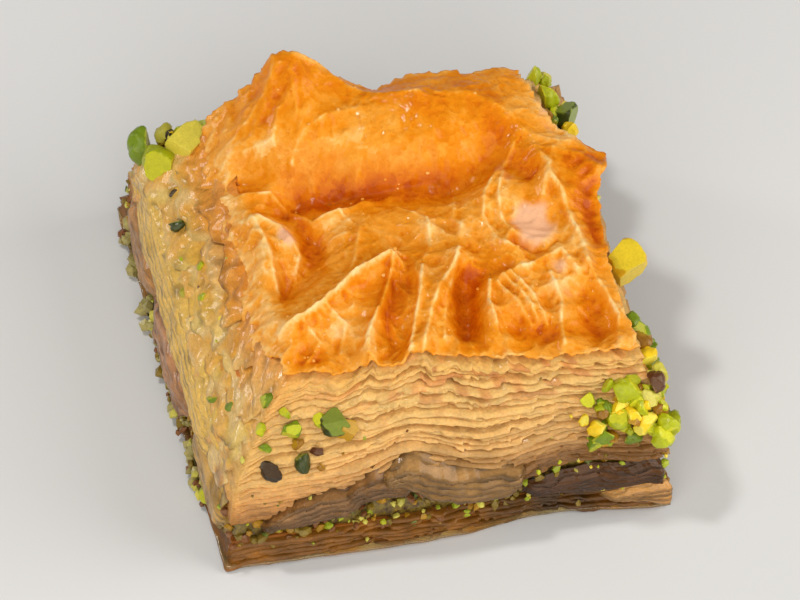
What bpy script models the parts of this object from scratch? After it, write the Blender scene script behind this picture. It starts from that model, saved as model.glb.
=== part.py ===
"""A square piece of pistachio baklava, cut askew as a real one is.

Three solids lie on each other: the soaked lower leaves, the pistachio filling that runs
through the piece, and the flaky upper leaves under a glazed and folded crust. Chopped
pistachios stick to the sides of the upper leaves and out of the filling.

+Z is up, the front of the piece faces -Y, and the origin is the middle of the base.
The sizes below are in millimetres, and each finished mesh is scaled to metres.
"""

import math
import random

import bmesh
import bpy
from mathutils import Vector, noise

METRES = 0.001

# Corners of the outline at three levels: front left, front right, back right, back left
BASE_CORNERS = ((-24.4, -25.6), (25.5, -27.4), (25.2, 25.6), (-26.3, 27.4))
SHOULDER_CORNERS = ((-23.4, -24.0), (24.9, -25.6), (24.6, 24.2), (-24.8, 25.6))
CRUST_CORNERS = ((-15.2, -15.6), (23.0, -20.8), (18.6, 19.8), (-15.4, 20.6))
SHOULDER_HEIGHT = 12.5
CRUST_HEIGHT = 20.8
CRUST_THICKNESS = 0.9
CORNER_PULL = 0.015

# Levels where one solid ends and the next begins, and the gap that keeps them apart
LOWER_LEAVES_TOP = 3.7
FILLING_TOP = 7.2
NODE_GAP = 0.3
# The upper leaves buckle over the filling at the front: centre x, half width, rise
FRONT_BUCKLES = ((-4.0, 4.5, 2.6), (5.3, 4.0, -1.6), (15.5, 5.5, 2.0))
# The lowest leaves are pushed in at the front, short of the corner: centre x, half width, depth
FRONT_TUCK = (12.5, 8.5, 1.7)

# Relief of the leaves: how many bundles of leaves show as steps, and how deep the steps are
UPPER_BUNDLES = 5
LOWER_BUNDLES = 2
STEP_DEPTH = 0.55
LEAF_SWAY = 0.5
LEAF_SWAY_LENGTH = 9.0
GRID_CELLS = 35

# The crust swells into one broad bubble at the back: centre, half lengths, rise
BUBBLES = (
    ((6.0, 15.0), (15.0, 8.5), 4.4),
    ((-7.2, 22.5), (6.0, 6.5), 4.6),
    ((-9.0, 14.5), (5.0, 4.5), 1.4),
    ((17.5, 2.0), (8.0, 9.0), 1.8),
    ((0.0, -9.0), (16.0, 8.0), 1.2),
)
# Folds of the crust: rise, half width, and the line that each one follows
FOLDS = (
    (1.6, 1.6, ((-6.9, 23.5), (-13.6, 17.5))),
    (1.2, 1.6, ((-6.6, 22.5), (-7.6, 15.0))),
    (-1.0, 1.8, ((2.6, 21.0), (2.0, 18.0))),
    (-2.6, 3.0, ((-14.5, 11.5), (-3.0, 6.6), (7.0, 6.0), (12.5, 7.6))),
    (1.4, 1.5, ((-14.6, 8.8), (-8.0, 4.4), (0.0, 3.4))),
    (-2.2, 2.2, ((-10.6, 2.4), (-9.6, -3.4), (-12.8, -6.2))),
    (2.3, 1.3, ((-14.8, -11.0), (-7.4, -7.4), (-1.2, -4.4))),
    (1.5, 1.1, ((-0.8, -4.6), (-5.2, -12.0), (-6.2, -15.8))),
    (1.2, 1.0, ((2.8, -5.9), (0.5, -11.6), (-1.6, -16.6))),
    (1.9, 1.3, ((6.5, -5.4), (3.4, -10.4), (0.2, -16.4))),
    (-2.2, 1.9, ((5.8, -10.2), (5.2, -15.0))),
    (1.1, 1.0, ((9.1, -8.8), (8.9, -16.0))),
    (1.4, 1.1, ((10.3, -7.2), (13.3, -16.6))),
    (1.0, 1.0, ((14.3, -12.2), (16.0, -19.4))),
    (1.3, 1.1, ((15.7, 8.8), (11.3, 3.2), (12.2, -4.8), (15.3, -7.9), (18.7, -5.0), (18.8, 1.4))),
    (-1.2, 2.0, ((15.2, 1.8), (15.8, -3.6))),
    (-1.2, 1.8, ((21.6, -2.0), (20.6, -10.0))),
)
NARROWEST_FOLD_IN_SOLID = 1.3
# The crust's edge hangs out or shrinks back: direction on the unit outline, half width, reach
EDGE_TABS = (
    ((1.0, 0.1), 0.5, 2.4),
    ((1.0, 0.26), 0.16, 3.0),
    ((-0.5, 1.0), 0.22, 1.6),
    ((0.0, 1.0), 0.2, -1.0),
    ((0.5, -1.0), 0.3, 0.6),
    ((-0.1, -1.0), 0.25, -0.6),
)

# Chopped pistachios that stand out on the sides: place on the unit outline, height, how far
# the middle stands off the side, half sizes
SINGLE_NUTS = (
    ((-1.0, 0.98), 13.8, 1.1, (1.8, 1.7, 2.3)),
    ((-1.0, 0.84), 15.0, 0.8, (2.5, 2.0, 2.1)),
    ((-0.92, 1.0), 16.0, 0.3, (2.6, 2.1, 2.3)),
    ((-0.97, 1.0), 15.6, 0.3, (1.0, 0.9, 1.2)),
    ((-0.86, 1.0), 18.0, 0.3, (1.3, 1.1, 1.2)),
    ((-0.6, -1.0), 16.8, 0.4, (1.7, 1.5, 2.1)),
    ((-0.84, -1.0), 13.4, 0.2, (1.6, 1.1, 1.2)),
    ((-0.82, -1.0), 16.2, 0.1, (1.3, 1.0, 1.0)),
    ((1.0, -0.17), 15.0, 1.5, (2.6, 2.4, 2.4)),
    ((1.0, 0.86), 15.8, 0.5, (1.2, 1.2, 1.4)),
    ((1.0, 0.7), 14.6, 0.9, (1.7, 1.4, 2.0)),
    ((0.84, 1.0), 17.0, 0.4, (1.4, 1.2, 1.3)),
)
# Clusters of smaller nuts: middle on the unit outline, spread, lowest and highest, how many
NUT_CLUSTERS = (
    ((0.94, -1.0), 0.13, (10.6, 16.8), 13),
    ((1.0, -0.82), 0.15, (11.0, 18.0), 11),
    ((1.0, 0.6), 0.35, (12.5, 17.5), 6),
)
CLUSTER_NUT_SIZE = (1.15, 1.85)
CLUSTER_STAND = 0.45
FILLING_CRUMBS = 28
CRUMB_SIZE = (0.8, 1.25)
CRUMB_STAND = 0.15


def mix(a, b, share):
    return a + (b - a) * share


def footprint(z):
    """The outline's corners at height z: steep up to the shoulder, then sloping in to the crust."""
    if z <= SHOULDER_HEIGHT:
        lower, upper, share = BASE_CORNERS, SHOULDER_CORNERS, z / SHOULDER_HEIGHT
    else:
        lower, upper = SHOULDER_CORNERS, CRUST_CORNERS
        share = min(1.0, (z - SHOULDER_HEIGHT) / (CRUST_HEIGHT - SHOULDER_HEIGHT))
    return [Vector(a).lerp(Vector(b), share) for a, b in zip(lower, upper)]


def plan_point(u, v, z):
    """A point of the unit square (u, v from -1 to 1) laid on the piece's outline at height z."""
    front_left, front_right, back_right, back_left = footprint(z)
    front = front_left.lerp(front_right, (u + 1) / 2)
    back = back_left.lerp(back_right, (u + 1) / 2)
    centre = (front_left + back_right) / 2
    pull = 1 - CORNER_PULL * (u * v) ** 4
    point = centre + (front.lerp(back, (v + 1) / 2) - centre) * pull
    return Vector((point.x, point.y, z))


def outward(u, v, z):
    """The level direction that points out of the side at a place on the unit outline."""
    return (plan_point(u, v, z) - plan_point(u * 0.9, v * 0.9, z)).normalized()


def falloff(distance, width):
    return math.exp(-((distance / width) ** 2))


def distance_to_line(point, line):
    nearest = math.inf
    for start, end in zip(line, line[1:]):
        a, run = Vector(start), Vector(end) - Vector(start)
        share = max(0.0, min(1.0, (point - a).dot(run) / run.length_squared))
        nearest = min(nearest, (point - a - run * share).length)
    return nearest


def crust_height(x, y):
    """Height of the crust's upper face: bubbles, then folds, over a level sheet."""
    here = Vector((x, y))
    height = CRUST_HEIGHT
    for (cx, cy), (half_x, half_y), rise in BUBBLES:
        height += rise * falloff(math.hypot((x - cx) / half_x, (y - cy) / half_y), 1.0)
    for rise, width, line in FOLDS:
        height += rise * falloff(distance_to_line(here, line), max(width, NARROWEST_FOLD_IN_SOLID))
    return height + 0.3 * noise.noise(Vector((x, y, 0)) / 3.0)


def crust_point(u, v):
    """A point of the crust, whose edge hangs out in tabs and shrinks back between them."""
    point = plan_point(u, v, CRUST_HEIGHT)
    reach = 0.5 * noise.noise(Vector((u * 4, v * 4, 7.0)))
    for (tab_u, tab_v), width, tab_reach in EDGE_TABS:
        reach += tab_reach * falloff(math.hypot(u - tab_u, v - tab_v), width)
    if u or v:
        point += outward(u, v, CRUST_HEIGHT) * reach * max(abs(u), abs(v)) ** 3
    point.z = crust_height(point.x, point.y)
    return point


def buckle(u, v):
    """How far the leaves rise off the filling. They buckle at the front only."""
    x = plan_point(u, v, FILLING_TOP).x
    front = falloff(v + 1, 0.25)
    return front * sum(rise * falloff(x - centre, half) for centre, half, rise in FRONT_BUCKLES)


def tuck(u, v, z):
    """How far the side is pushed in near the base, at the front only."""
    centre, half, depth = FRONT_TUCK
    low = max(0.0, 1 - z / FILLING_TOP)
    return depth * low * falloff(v + 1, 0.3) * falloff(plan_point(u, v, z).x - centre, half)


def sway(u, v, z):
    """The slow wander of a leaf's edge along the side, the same for leaves that touch."""
    place = plan_point(u, v, z)
    return LEAF_SWAY * noise.noise(Vector((place.x, place.y, z * 2.5)) / LEAF_SWAY_LENGTH)


def leaf_rings(bundles):
    """Share of the stack's height and outset for each ring of a stepped side, top to bottom."""
    rings = []
    for bundle in range(bundles):
        top = 1 - bundle / bundles
        foot = top - 0.62 / bundles
        rings += [(top, STEP_DEPTH * 0.4), (foot, STEP_DEPTH), (foot - 0.16 / bundles, -STEP_DEPTH)]
    return rings[:-1]


def open_sheet(place):
    """A grid over the unit square, its vertices laid out by place(u, v). Each keeps its u and v."""
    bm = bmesh.new()
    keep_u = bm.verts.layers.float.new("u")
    keep_v = bm.verts.layers.float.new("v")
    bmesh.ops.create_grid(bm, x_segments=GRID_CELLS, y_segments=GRID_CELLS, size=1.0)
    for vert in bm.verts:
        vert[keep_u], vert[keep_v] = vert.co.x, vert.co.y
        vert.co = place(vert.co.x, vert.co.y)
    return bm


def unit_outline():
    """An open ring of edges round the unit square, as many as a sheet's border has."""
    bm = open_sheet(lambda u, v: Vector((u, v, 0)))
    inner = [vert for vert in bm.verts if not vert.is_boundary]
    bmesh.ops.delete(bm, geom=inner, context="VERTS")
    bmesh.ops.delete(bm, geom=list(bm.faces), context="FACES_ONLY")
    return bm


def add_ring(bm, edges, place):
    """Extrudes the open border and lays the new ring out by place(u, v)."""
    keep_u = bm.verts.layers.float["u"]
    keep_v = bm.verts.layers.float["v"]
    made = bmesh.ops.extrude_edge_only(bm, edges=edges)["geom"]
    for vert in (g for g in made if isinstance(g, bmesh.types.BMVert)):
        vert.co = place(vert[keep_u], vert[keep_v])
    return [g for g in made if isinstance(g, bmesh.types.BMEdge) and g.is_boundary]


def lay_ring(bm, place):
    """Lays out the vertices that are already there by place(u, v)."""
    keep_u = bm.verts.layers.float["u"]
    keep_v = bm.verts.layers.float["v"]
    for vert in bm.verts:
        vert.co = place(vert[keep_u], vert[keep_v])


def fan(bm, edges):
    """Closes a ring with triangles that meet in its middle."""
    face = bmesh.ops.contextual_create(bm, geom=edges)["faces"]
    bmesh.ops.poke(bm, faces=face)


def side_place(height, outset):
    """A place function for a ring on the side: height(u, v) above the base, pushed out by outset."""

    def place(u, v):
        z = height(u, v)
        point = plan_point(u, v, z) + outward(u, v, z) * (outset + sway(u, v, z) - tuck(u, v, z))
        point.z = z
        return point

    return place


def between(foot, top, share):
    return lambda u, v: mix(foot(u, v), top(u, v), share)


def filling_top(u, v):
    return FILLING_TOP + buckle(u, v)


def object_of(name, bm, material, collection):
    bmesh.ops.recalc_face_normals(bm, faces=bm.faces)
    bmesh.ops.scale(bm, vec=(METRES,) * 3, verts=bm.verts)
    mesh = bpy.data.meshes.new(name)
    bm.to_mesh(mesh)
    bm.free()
    obj = bpy.data.objects.new(name, mesh)
    collection.objects.link(obj)
    if material:
        mesh.materials.append(material)
    return obj


def material_of(name, color, roughness):
    material = bpy.data.materials.new(name)
    material.use_nodes = True
    shader = material.node_tree.nodes["Principled BSDF"]
    shader.inputs["Base Color"].default_value = (*color, 1.0)
    shader.inputs["Roughness"].default_value = roughness
    shader.inputs["Metallic"].default_value = 0.0
    return material


def upper_leaves(collection):
    """The crust's sheet, the stepped side below it, and the buckled underside over the filling."""
    bm = open_sheet(crust_point)
    edges = [edge for edge in bm.edges if edge.is_boundary]

    def foot(u, v):
        return filling_top(u, v) + NODE_GAP

    def top(u, v):
        return crust_point(u, v).z - CRUST_THICKNESS

    for share, outset in leaf_rings(UPPER_BUNDLES):
        edges = add_ring(bm, edges, side_place(between(foot, top, share), outset))
    edges = add_ring(bm, edges, side_place(foot, 0.0))
    fan(bm, edges)
    return object_of("upper_leaves", bm, material_of("Glazed filo", (0.78, 0.36, 0.07), 0.3), collection)


def layer_between(foot, top, rings):
    """A closed layer from foot(u, v) to top(u, v), with rings of relief round its side."""
    bm = unit_outline()
    lay_ring(bm, side_place(top, 0.0))
    fan(bm, list(bm.edges))
    edges = [edge for edge in bm.edges if edge.is_boundary]
    for share, outset in rings:
        edges = add_ring(bm, edges, side_place(between(foot, top, share), outset))
    edges = add_ring(bm, edges, side_place(foot, 0.0))
    fan(bm, edges)
    return bm


def pistachio_filling(collection):
    """Ground pistachio: a coarse layer that stands a little proud of the leaves."""

    def foot(u, v):
        return LOWER_LEAVES_TOP + NODE_GAP

    bm = layer_between(foot, filling_top, ((0.82, 0.1), (0.5, 0.35), (0.18, 0.1)))
    return object_of("pistachio_filling", bm, material_of("Pistachio", (0.38, 0.36, 0.05), 0.5), collection)


def lower_leaves(collection):
    """The soaked leaves that the piece stands on. Their underside is flat."""

    def foot(u, v):
        return 0.0

    def top(u, v):
        return LOWER_LEAVES_TOP

    bm = layer_between(foot, top, leaf_rings(LOWER_BUNDLES)[1:])
    return object_of("lower_leaves", bm, material_of("Soaked filo", (0.5, 0.28, 0.08), 0.3), collection)


def nut(bm, centre, size, draw):
    """One chopped nut: an uneven rounded lump of 20 faces."""
    made = bmesh.ops.create_icosphere(bm, subdivisions=1, radius=1.0)["verts"]
    turn = Vector((draw.uniform(-1, 1), draw.uniform(-1, 1), 1.0)).to_track_quat("Z", "Y").to_matrix()
    for vert in made:
        uneven = vert.co * draw.uniform(0.86, 1.08)
        vert.co = centre + turn @ Vector(a * b for a, b in zip(uneven, size))


def side_seat(u, v, z, stand):
    """A place on the side, or as far out from it as stand."""
    return plan_point(u, v, z) + outward(u, v, z) * stand


def on_outline(u, v):
    """The place on the unit outline nearest to (u, v)."""
    far = max(abs(u), abs(v))
    return u / far, v / far


def nuts_on_leaves(collection):
    draw = random.Random(4)
    for (u, v), z, stand, size in SINGLE_NUTS:
        bm = bmesh.new()
        nut(bm, side_seat(u, v, z, stand), size, draw)
        object_of("nut", bm, None, collection)
    for (u, v), spread, (lowest, highest), count in NUT_CLUSTERS:
        for _ in range(count):
            place = on_outline(u + draw.uniform(-spread, spread), v + draw.uniform(-spread, spread))
            z = draw.uniform(lowest, highest)
            longest = draw.uniform(*CLUSTER_NUT_SIZE)
            size = (longest, longest * draw.uniform(0.7, 1.0), longest * draw.uniform(0.7, 1.0))
            bm = bmesh.new()
            nut(bm, side_seat(*place, z, longest * CLUSTER_STAND), size, draw)
            object_of("nut", bm, None, collection)


def crumbs_on_filling(collection):
    """Coarse pieces of nut along the filling's edge, evenly spaced with a little scatter."""
    draw = random.Random(9)
    for number in range(FILLING_CRUMBS):
        angle = math.tau * (number + draw.uniform(-0.3, 0.3)) / FILLING_CRUMBS
        place = on_outline(math.cos(angle), math.sin(angle))
        z = mix(LOWER_LEAVES_TOP + NODE_GAP, FILLING_TOP, draw.uniform(0.45, 0.55))
        size = draw.uniform(*CRUMB_SIZE)
        bm = bmesh.new()
        nut(bm, side_seat(*place, z, size * CRUMB_STAND), (size, size, size * 0.9), draw)
        object_of("crumb", bm, None, collection)


def fuse(obj, pieces):
    """Joins every object of the collection to obj, and removes them."""
    union = obj.modifiers.new("Fused pieces", "BOOLEAN")
    union.operation = "UNION"
    union.solver = "EXACT"
    union.operand_type = "COLLECTION"
    union.collection = pieces
    bpy.context.view_layer.objects.active = obj
    bpy.ops.object.modifier_apply(modifier=union.name)
    for piece in list(pieces.objects):
        bpy.data.objects.remove(piece)
    keep_largest_body(obj)


def connected(start):
    """Every vertex that edges join to start."""
    found, waiting = {start}, [start]
    while waiting:
        vert = waiting.pop()
        for edge in vert.link_edges:
            other = edge.other_vert(vert)
            if other not in found:
                found.add(other)
                waiting.append(other)
    return found


def keep_largest_body(obj):
    """Drops loose scraps, and fills the hollows that nuts seal between them."""
    bm = bmesh.new()
    bm.from_mesh(obj.data)
    left, bodies = set(bm.verts), []
    while left:
        bodies.append(connected(next(iter(left))))
        left -= bodies[-1]
    largest = max(bodies, key=len)
    scraps = [vert for body in bodies if body is not largest for vert in body]
    bmesh.ops.delete(bm, geom=scraps, context="VERTS")
    bm.to_mesh(obj.data)
    bm.free()


def centre_on_base(objects):
    """Moves the meshes so that the middle of their common box stands over the origin."""
    corners = [vert.co for obj in objects for vert in obj.data.vertices]
    middle = [(min(c[axis] for c in corners) + max(c[axis] for c in corners)) / 2 for axis in (0, 1)]
    for obj in objects:
        for vert in obj.data.vertices:
            vert.co -= Vector((*middle, 0.0))


def main():
    for obj in list(bpy.data.objects):
        bpy.data.objects.remove(obj)
    piece = bpy.data.collections.new("Baklava piece")
    loose_nuts = bpy.data.collections.new("Nuts to fuse")
    bpy.context.scene.collection.children.link(piece)
    bpy.context.scene.collection.children.link(loose_nuts)
    upper, filling, lower = upper_leaves(piece), pistachio_filling(piece), lower_leaves(piece)
    nuts_on_leaves(loose_nuts)
    fuse(upper, loose_nuts)
    crumbs_on_filling(loose_nuts)
    fuse(filling, loose_nuts)
    bpy.data.collections.remove(loose_nuts)
    centre_on_base((upper, filling, lower))


main()
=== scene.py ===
"""Dresses a square piece of pistachio baklava: the glazed and folded top sheet, the flaky leaves
of both stacks, the nut filling, the chopped pistachios on its sides, and the syrup.

Sizes in this file are in millimetres unless a property says otherwise. The front faces -Y.
"""

import math
import random

import bmesh
import bpy
import numpy as np
from mathutils import Matrix, Vector, noise


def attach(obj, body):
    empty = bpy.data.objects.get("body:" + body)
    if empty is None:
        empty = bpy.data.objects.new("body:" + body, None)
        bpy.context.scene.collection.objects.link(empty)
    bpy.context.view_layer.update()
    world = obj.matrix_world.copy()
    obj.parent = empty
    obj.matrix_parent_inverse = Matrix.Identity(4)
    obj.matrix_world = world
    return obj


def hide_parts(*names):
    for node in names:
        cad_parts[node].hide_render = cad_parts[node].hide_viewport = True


bl_info = {
    "name": "Baklava Piece",
    "version": (1, 0, 0),
    "blender": (4, 5, 0),
    "location": "View3D > Sidebar > Baklava",
    "description": "Models the leaves, nuts and syrup of a piece of pistachio baklava",
    "category": "Add Mesh",
}

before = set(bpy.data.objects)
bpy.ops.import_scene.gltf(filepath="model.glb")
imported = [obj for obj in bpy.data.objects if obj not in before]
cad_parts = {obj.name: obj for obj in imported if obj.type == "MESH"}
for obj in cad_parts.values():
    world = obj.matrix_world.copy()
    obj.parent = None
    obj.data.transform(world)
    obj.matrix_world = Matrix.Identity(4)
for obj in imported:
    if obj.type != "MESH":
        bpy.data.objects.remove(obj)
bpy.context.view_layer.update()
METRES = 0.001
# Half of a side, which turns places on the unit outline into places for noise
HALF_SIDE = 24

# Corners of the outline at three heights: front left, front right, back right, back left
BASE_CORNERS = ((-24.9, -25.6), (25.0, -27.4), (24.7, 25.6), (-26.8, 27.4))
SHOULDER_CORNERS = ((-23.9, -24.0), (24.4, -25.6), (24.1, 24.2), (-25.3, 25.6))
CRUST_CORNERS = ((-15.7, -15.6), (22.5, -20.8), (18.1, 19.8), (-15.9, 20.6))
SHOULDER_HEIGHT = 12.5
CRUST_HEIGHT = 20.8

# Where one layer ends and the next begins, and how the upper leaves buckle at the front:
# centre x, half width, rise
LOWER_LEAVES_TOP = 3.7
FILLING_TOP = 7.2
FRONT_BUCKLES = ((-4.5, 4.5, 2.6), (4.8, 4.0, -1.6), (15.0, 5.5, 2.0))
FRONT_TUCK = (12.0, 8.5, 1.7)
# The leaves: how far they lie above the filling, how far soaked ones droop, the lowest height of
# any, the height to which the core's top is sunk, the rows of faces across a strip, and how
# thick the hanging sheets, the flakes and the lower leaves are
LEAF_LIFT = 0.3
SOAKED_DROOP = 1.15
LEAF_FLOOR = 0.3
UPPER_CORE_FLOOR = 15.5
STRIP_ROWS = 5
SHEET_THICKNESS = 0.25
FLAKE_THICKNESS = 0.17
LOWER_LEAF_THICKNESS = 0.3

# Broad swellings of the crust: centre, half lengths, rise
BUBBLES = (
    ((5.5, 15.0), (15.0, 8.5), 4.4),
    ((-7.9, 22.9), (5.0, 6.2), 6.3),
    ((-9.5, 14.5), (5.0, 4.5), 1.4),
    ((17.0, 2.0), (8.0, 9.0), 1.8),
    ((-0.5, -9.0), (16.0, 8.0), 1.2),
)
# Rounded hollows of the crust: depth, half width, and the line that each one follows
HOLLOWS = (
    (2.6, 3.0, ((-15.0, 11.5), (-3.5, 6.6), (6.5, 6.0), (12.0, 7.6))),
    (2.3, 2.0, ((-11.1, 7.0), (-9.2, 1.6), (-10.4, -1.4), (-13.7, -4.4))),
    (2.4, 1.7, ((5.7, -8.6), (4.6, -14.2))),
    (1.1, 1.6, ((22.1, 0.2), (21.4, -4.8))),
    (0.9, 1.4, ((-12.4, -14.8), (-9.6, -13.8))),
    (0.8, 1.2, ((-2.2, -7.4), (-4.4, -13.4))),
    (0.7, 1.5, ((12.4, -16.4), (10.4, -15.2))),
    (1.0, 1.7, ((18.4, -12.6), (18.6, -17.0))),
    (0.9, 1.6, ((2.1, 20.0), (2.4, 22.0))),
    (0.9, 1.2, ((14.2, 6.8), (15.8, 4.2))),
)
# Sharp creases of the crust: rise, half width, lean to its left, and the line that each one follows
CREASES = (
    (1.0, 1.4, 0.8, ((-9.4, 22.4), (-10.2, 20.3), (-11.4, 19.1), (-13.8, 17.4))),
    (0.6, 0.9, 1.0, ((-7.9, 20.2), (-8.1, 15.8))),
    (0.8, 1.1, 0.7, ((-6.2, 23.0), (-3.4, 20.9), (-1.3, 18.8), (1.5, 17.1), (5.5, 15.9))),
    (0.6, 1.3, 1.5, ((5.5, 15.9), (11.5, 15.4), (15.3, 12.3), (16.7, 9.5), (20.7, 7.4))),
    (0.5, 0.9, 1.2, ((-1.1, 15.9), (-4.8, 15.3), (-7.7, 14.0), (-9.0, 12.6), (-9.6, 11.7))),
    (-0.7, 0.6, 1.0, ((-6.6, 7.9), (-2.5, 7.5), (2.3, 7.4), (5.8, 7.3))),
    (1.3, 1.1, 0.8, ((-15.5, 9.9), (-12.5, 9.7), (-10.5, 7.0), (-8.8, 4.3), (-5.6, 5.1), (-2.5, 6.0))),
    (1.2, 0.9, 0.8, ((-15.2, 5.0), (-14.6, 1.1), (-14.5, -4.9))),
    (0.9, 0.9, 1.2, ((-14.6, 5.5), (-12.7, 4.1), (-11.1, 0.1), (-12.0, -1.8))),
    (2.1, 0.8, 1.3, ((-15.8, -11.4), (-13.2, -10.7), (-10.6, -9.2), (-7.4, -6.9), (-4.4, -4.9),
                     (-2.0, -4.3))),
    (1.5, 0.6, 1.4, ((-1.4, -4.3), (-2.3, -6.4), (-4.0, -10.1), (-5.5, -12.4), (-6.6, -14.4),
                     (-6.9, -16.4))),
    (1.2, 0.55, 1.3, ((1.4, -6.1), (0.2, -10.3), (-0.8, -12.7), (-1.6, -15.0), (-2.4, -17.0))),
    (1.8, 1.0, 0.8, ((5.5, -5.7), (3.3, -8.7), (1.4, -11.8), (0.2, -14.5), (-0.8, -17.2))),
    (0.6, 0.45, 1.0, ((5.9, -4.6), (3.6, -9.8), (2.4, -13.1), (1.8, -15.8))),
    (1.2, 0.6, 0.8, ((8.3, -9.3), (7.6, -12.1), (7.8, -14.9))),
    (0.9, 0.5, 1.0, ((9.1, -9.7), (10.5, -12.6), (11.6, -15.5))),
    (0.8, 0.45, 1.0, ((9.9, -8.9), (11.5, -12.1), (12.4, -15.2))),
    (0.8, 0.5, 1.0, ((10.7, -8.7), (12.6, -12.2), (13.3, -15.9))),
    (0.9, 0.6, 1.2, ((15.1, -9.6), (15.5, -13.2), (14.7, -16.7), (14.5, -19.2))),
    (0.9, 0.8, 1.2, ((19.4, -9.1), (20.6, -12.7), (21.2, -16.4), (20.4, -19.4))),
    (1.1, 0.9, 0.8, ((14.8, 8.1), (12.7, 6.1), (10.4, 2.6), (9.6, -0.4), (10.3, -3.9), (12.1, -5.9))),
    (0.5, 0.4, 1.0, ((13.2, 5.6), (11.9, 2.4), (11.5, -0.8), (12.2, -3.2))),
    (-0.6, 0.35, 1.0, ((12.1, -4.1), (13.7, -5.9), (15.4, -6.3), (16.9, -5.0))),
    (0.8, 0.7, 1.0, ((17.0, 7.5), (18.1, 4.4), (16.6, 0.8))),
    (0.9, 0.6, 1.3, ((17.8, 2.9), (18.7, 0.7), (19.1, -2.8), (19.5, -6.3), (19.4, -9.1))),
    (0.7, 1.4, 0.8, ((19.1, 6.8), (25.4, 4.4))),
    (0.7, 0.6, 1.0, ((12.4, -8.2), (17.0, -6.7), (18.1, -9.6))),
    (0.5, 0.4, 1.0, ((-10.0, -9.2), (-8.4, -11.6), (-9.6, -14.8))),
    (0.5, 0.4, 1.0, ((-12.9, -10.9), (-11.6, -13.2), (-13.4, -15.2))),
    (0.4, 0.4, 1.0, ((-5.6, 5.1), (-4.0, 1.6), (-5.6, -3.0))),
    (0.4, 0.4, 1.0, ((0.9, 4.4), (3.6, 1.2), (3.0, -3.2))),
    (0.4, 0.5, 1.0, ((7.4, 4.6), (6.4, 0.6), (7.8, -3.6))),
    (0.5, 0.5, 1.0, ((-14.4, 14.8), (-11.2, 14.2), (-10.0, 17.0))),
)
CREASE_ROUNDNESS = 0.1
# How the crust is crumpled, less so on its dome and in its hollows: rise, size, seed of the noise
CRUMPLES = ((0.36, 5.2, 1), (0.17, 2.0, 2))
FINE_RELIEF = 0.05
# The crust's edge hangs out or shrinks back: place on the unit outline, half width, reach
EDGE_TABS = (
    ((1.0, 0.1), 0.5, 2.4),
    ((1.0, 0.26), 0.13, 3.2),
    ((-0.5, 1.0), 0.22, 1.6),
    ((0.0, 1.0), 0.2, -1.0),
    ((0.62, -1.0), 0.28, 0.7),
    ((-0.1, -1.0), 0.25, -0.5),
    ((-1.0, 0.1), 0.95, 3.2),
    ((-1.0, -0.55), 0.2, 1.4),
    ((-1.0, 0.75), 0.3, 1.6),
    ((-1.0, 0.35), 0.17, -0.9),
    ((-1.0, 0.0), 0.14, -1.3),
)
# Where the crust lies down on the sloping left side: how far to the left that begins, how far
# above the crust's own level, and how steeply it falls from there
LEFT_DRAPE = (15.4, 0.45, 0.93)
# How far the crust's rim is torn
RAGGED_RIM = 0.45
# The crust's colour, pale at 0 and dark at 1, and patches of it: centre, half lengths, darker
# above nought and paler below
BASE_TOAST = 0.42
TOAST_PATCHES = (
    ((-8.1, 20.4), (2.6, 3.4), 0.28),
    ((-13.4, 14.0), (3.0, 3.0), -0.22),
    ((-1.5, 12.5), (6.0, 2.8), -0.16),
    ((9.0, 15.0), (6.0, 2.4), 0.22),
    ((13.5, 10.6), (2.4, 3.4), 0.3),
    ((4.5, 0.4), (3.2, 2.2), -0.12),
    ((-5.8, 3.6), (2.4, 1.6), -0.2),
    ((-12.3, 1.8), (1.7, 2.6), -0.35),
    ((-8.6, -11.0), (2.6, 2.4), -0.42),
    ((-12.6, -14.6), (1.8, 1.4), 0.25),
    ((-2.8, -8.6), (1.2, 2.6), 0.35),
    ((-4.0, -13.4), (1.5, 2.6), 0.3),
    ((5.2, -11.6), (1.9, 3.6), 0.6),
    ((6.6, -7.6), (2.2, 1.6), 0.35),
    ((16.2, 5.6), (1.5, 1.5), 0.3),
    ((21.0, 5.2), (3.6, 1.6), 0.28),
    ((25.2, 4.2), (2.4, 3.0), 0.4),
    ((21.9, -3.8), (1.7, 3.6), 0.48),
    ((18.6, -15.6), (2.0, 3.2), 0.3),
    ((11.4, -16.2), (2.2, 1.2), 0.3),
    ((16.2, -11.2), (2.0, 2.6), -0.3),
    ((19.9, 12.0), (2.6, 4.6), -0.3),
    ((-5.0, 7.4), (7.0, 1.7), 0.55),
    ((5.0, 6.8), (5.0, 1.7), 0.5),
    ((21.5, 1.0), (2.5, 4.0), 0.4),
    ((-9.8, 1.0), (1.6, 3.4), 0.25),
    ((2.0, 14.0), (16.0, 8.0), 0.14),
    ((-9.0, 19.0), (5.0, 5.0), 0.12),
    ((2.0, -18.5), (16.0, 2.4), 0.18),
)
# Places where the crust is pinkish white, partly its own pale colour and partly a painted highlight:
# centre, half lengths, strength
PALE_AND_GLINT_PATCHES = (
    ((14.9, -2.2), (2.7, 3.7), 0.95),
    ((13.2, 5.6), (1.4, 2.4), 0.55),
    ((16.4, -9.0), (1.8, 1.6), 0.5),
    ((16.4, -12.4), (1.4, 1.8), 0.4),
    ((-12.2, 2.2), (1.2, 2.2), 0.75),
    ((-9.2, -12.0), (1.6, 1.4), 0.55),
    ((19.8, 12.4), (1.8, 5.0), 0.5),
    ((11.6, -10.2), (2.6, 2.2), 0.35),
)

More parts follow.
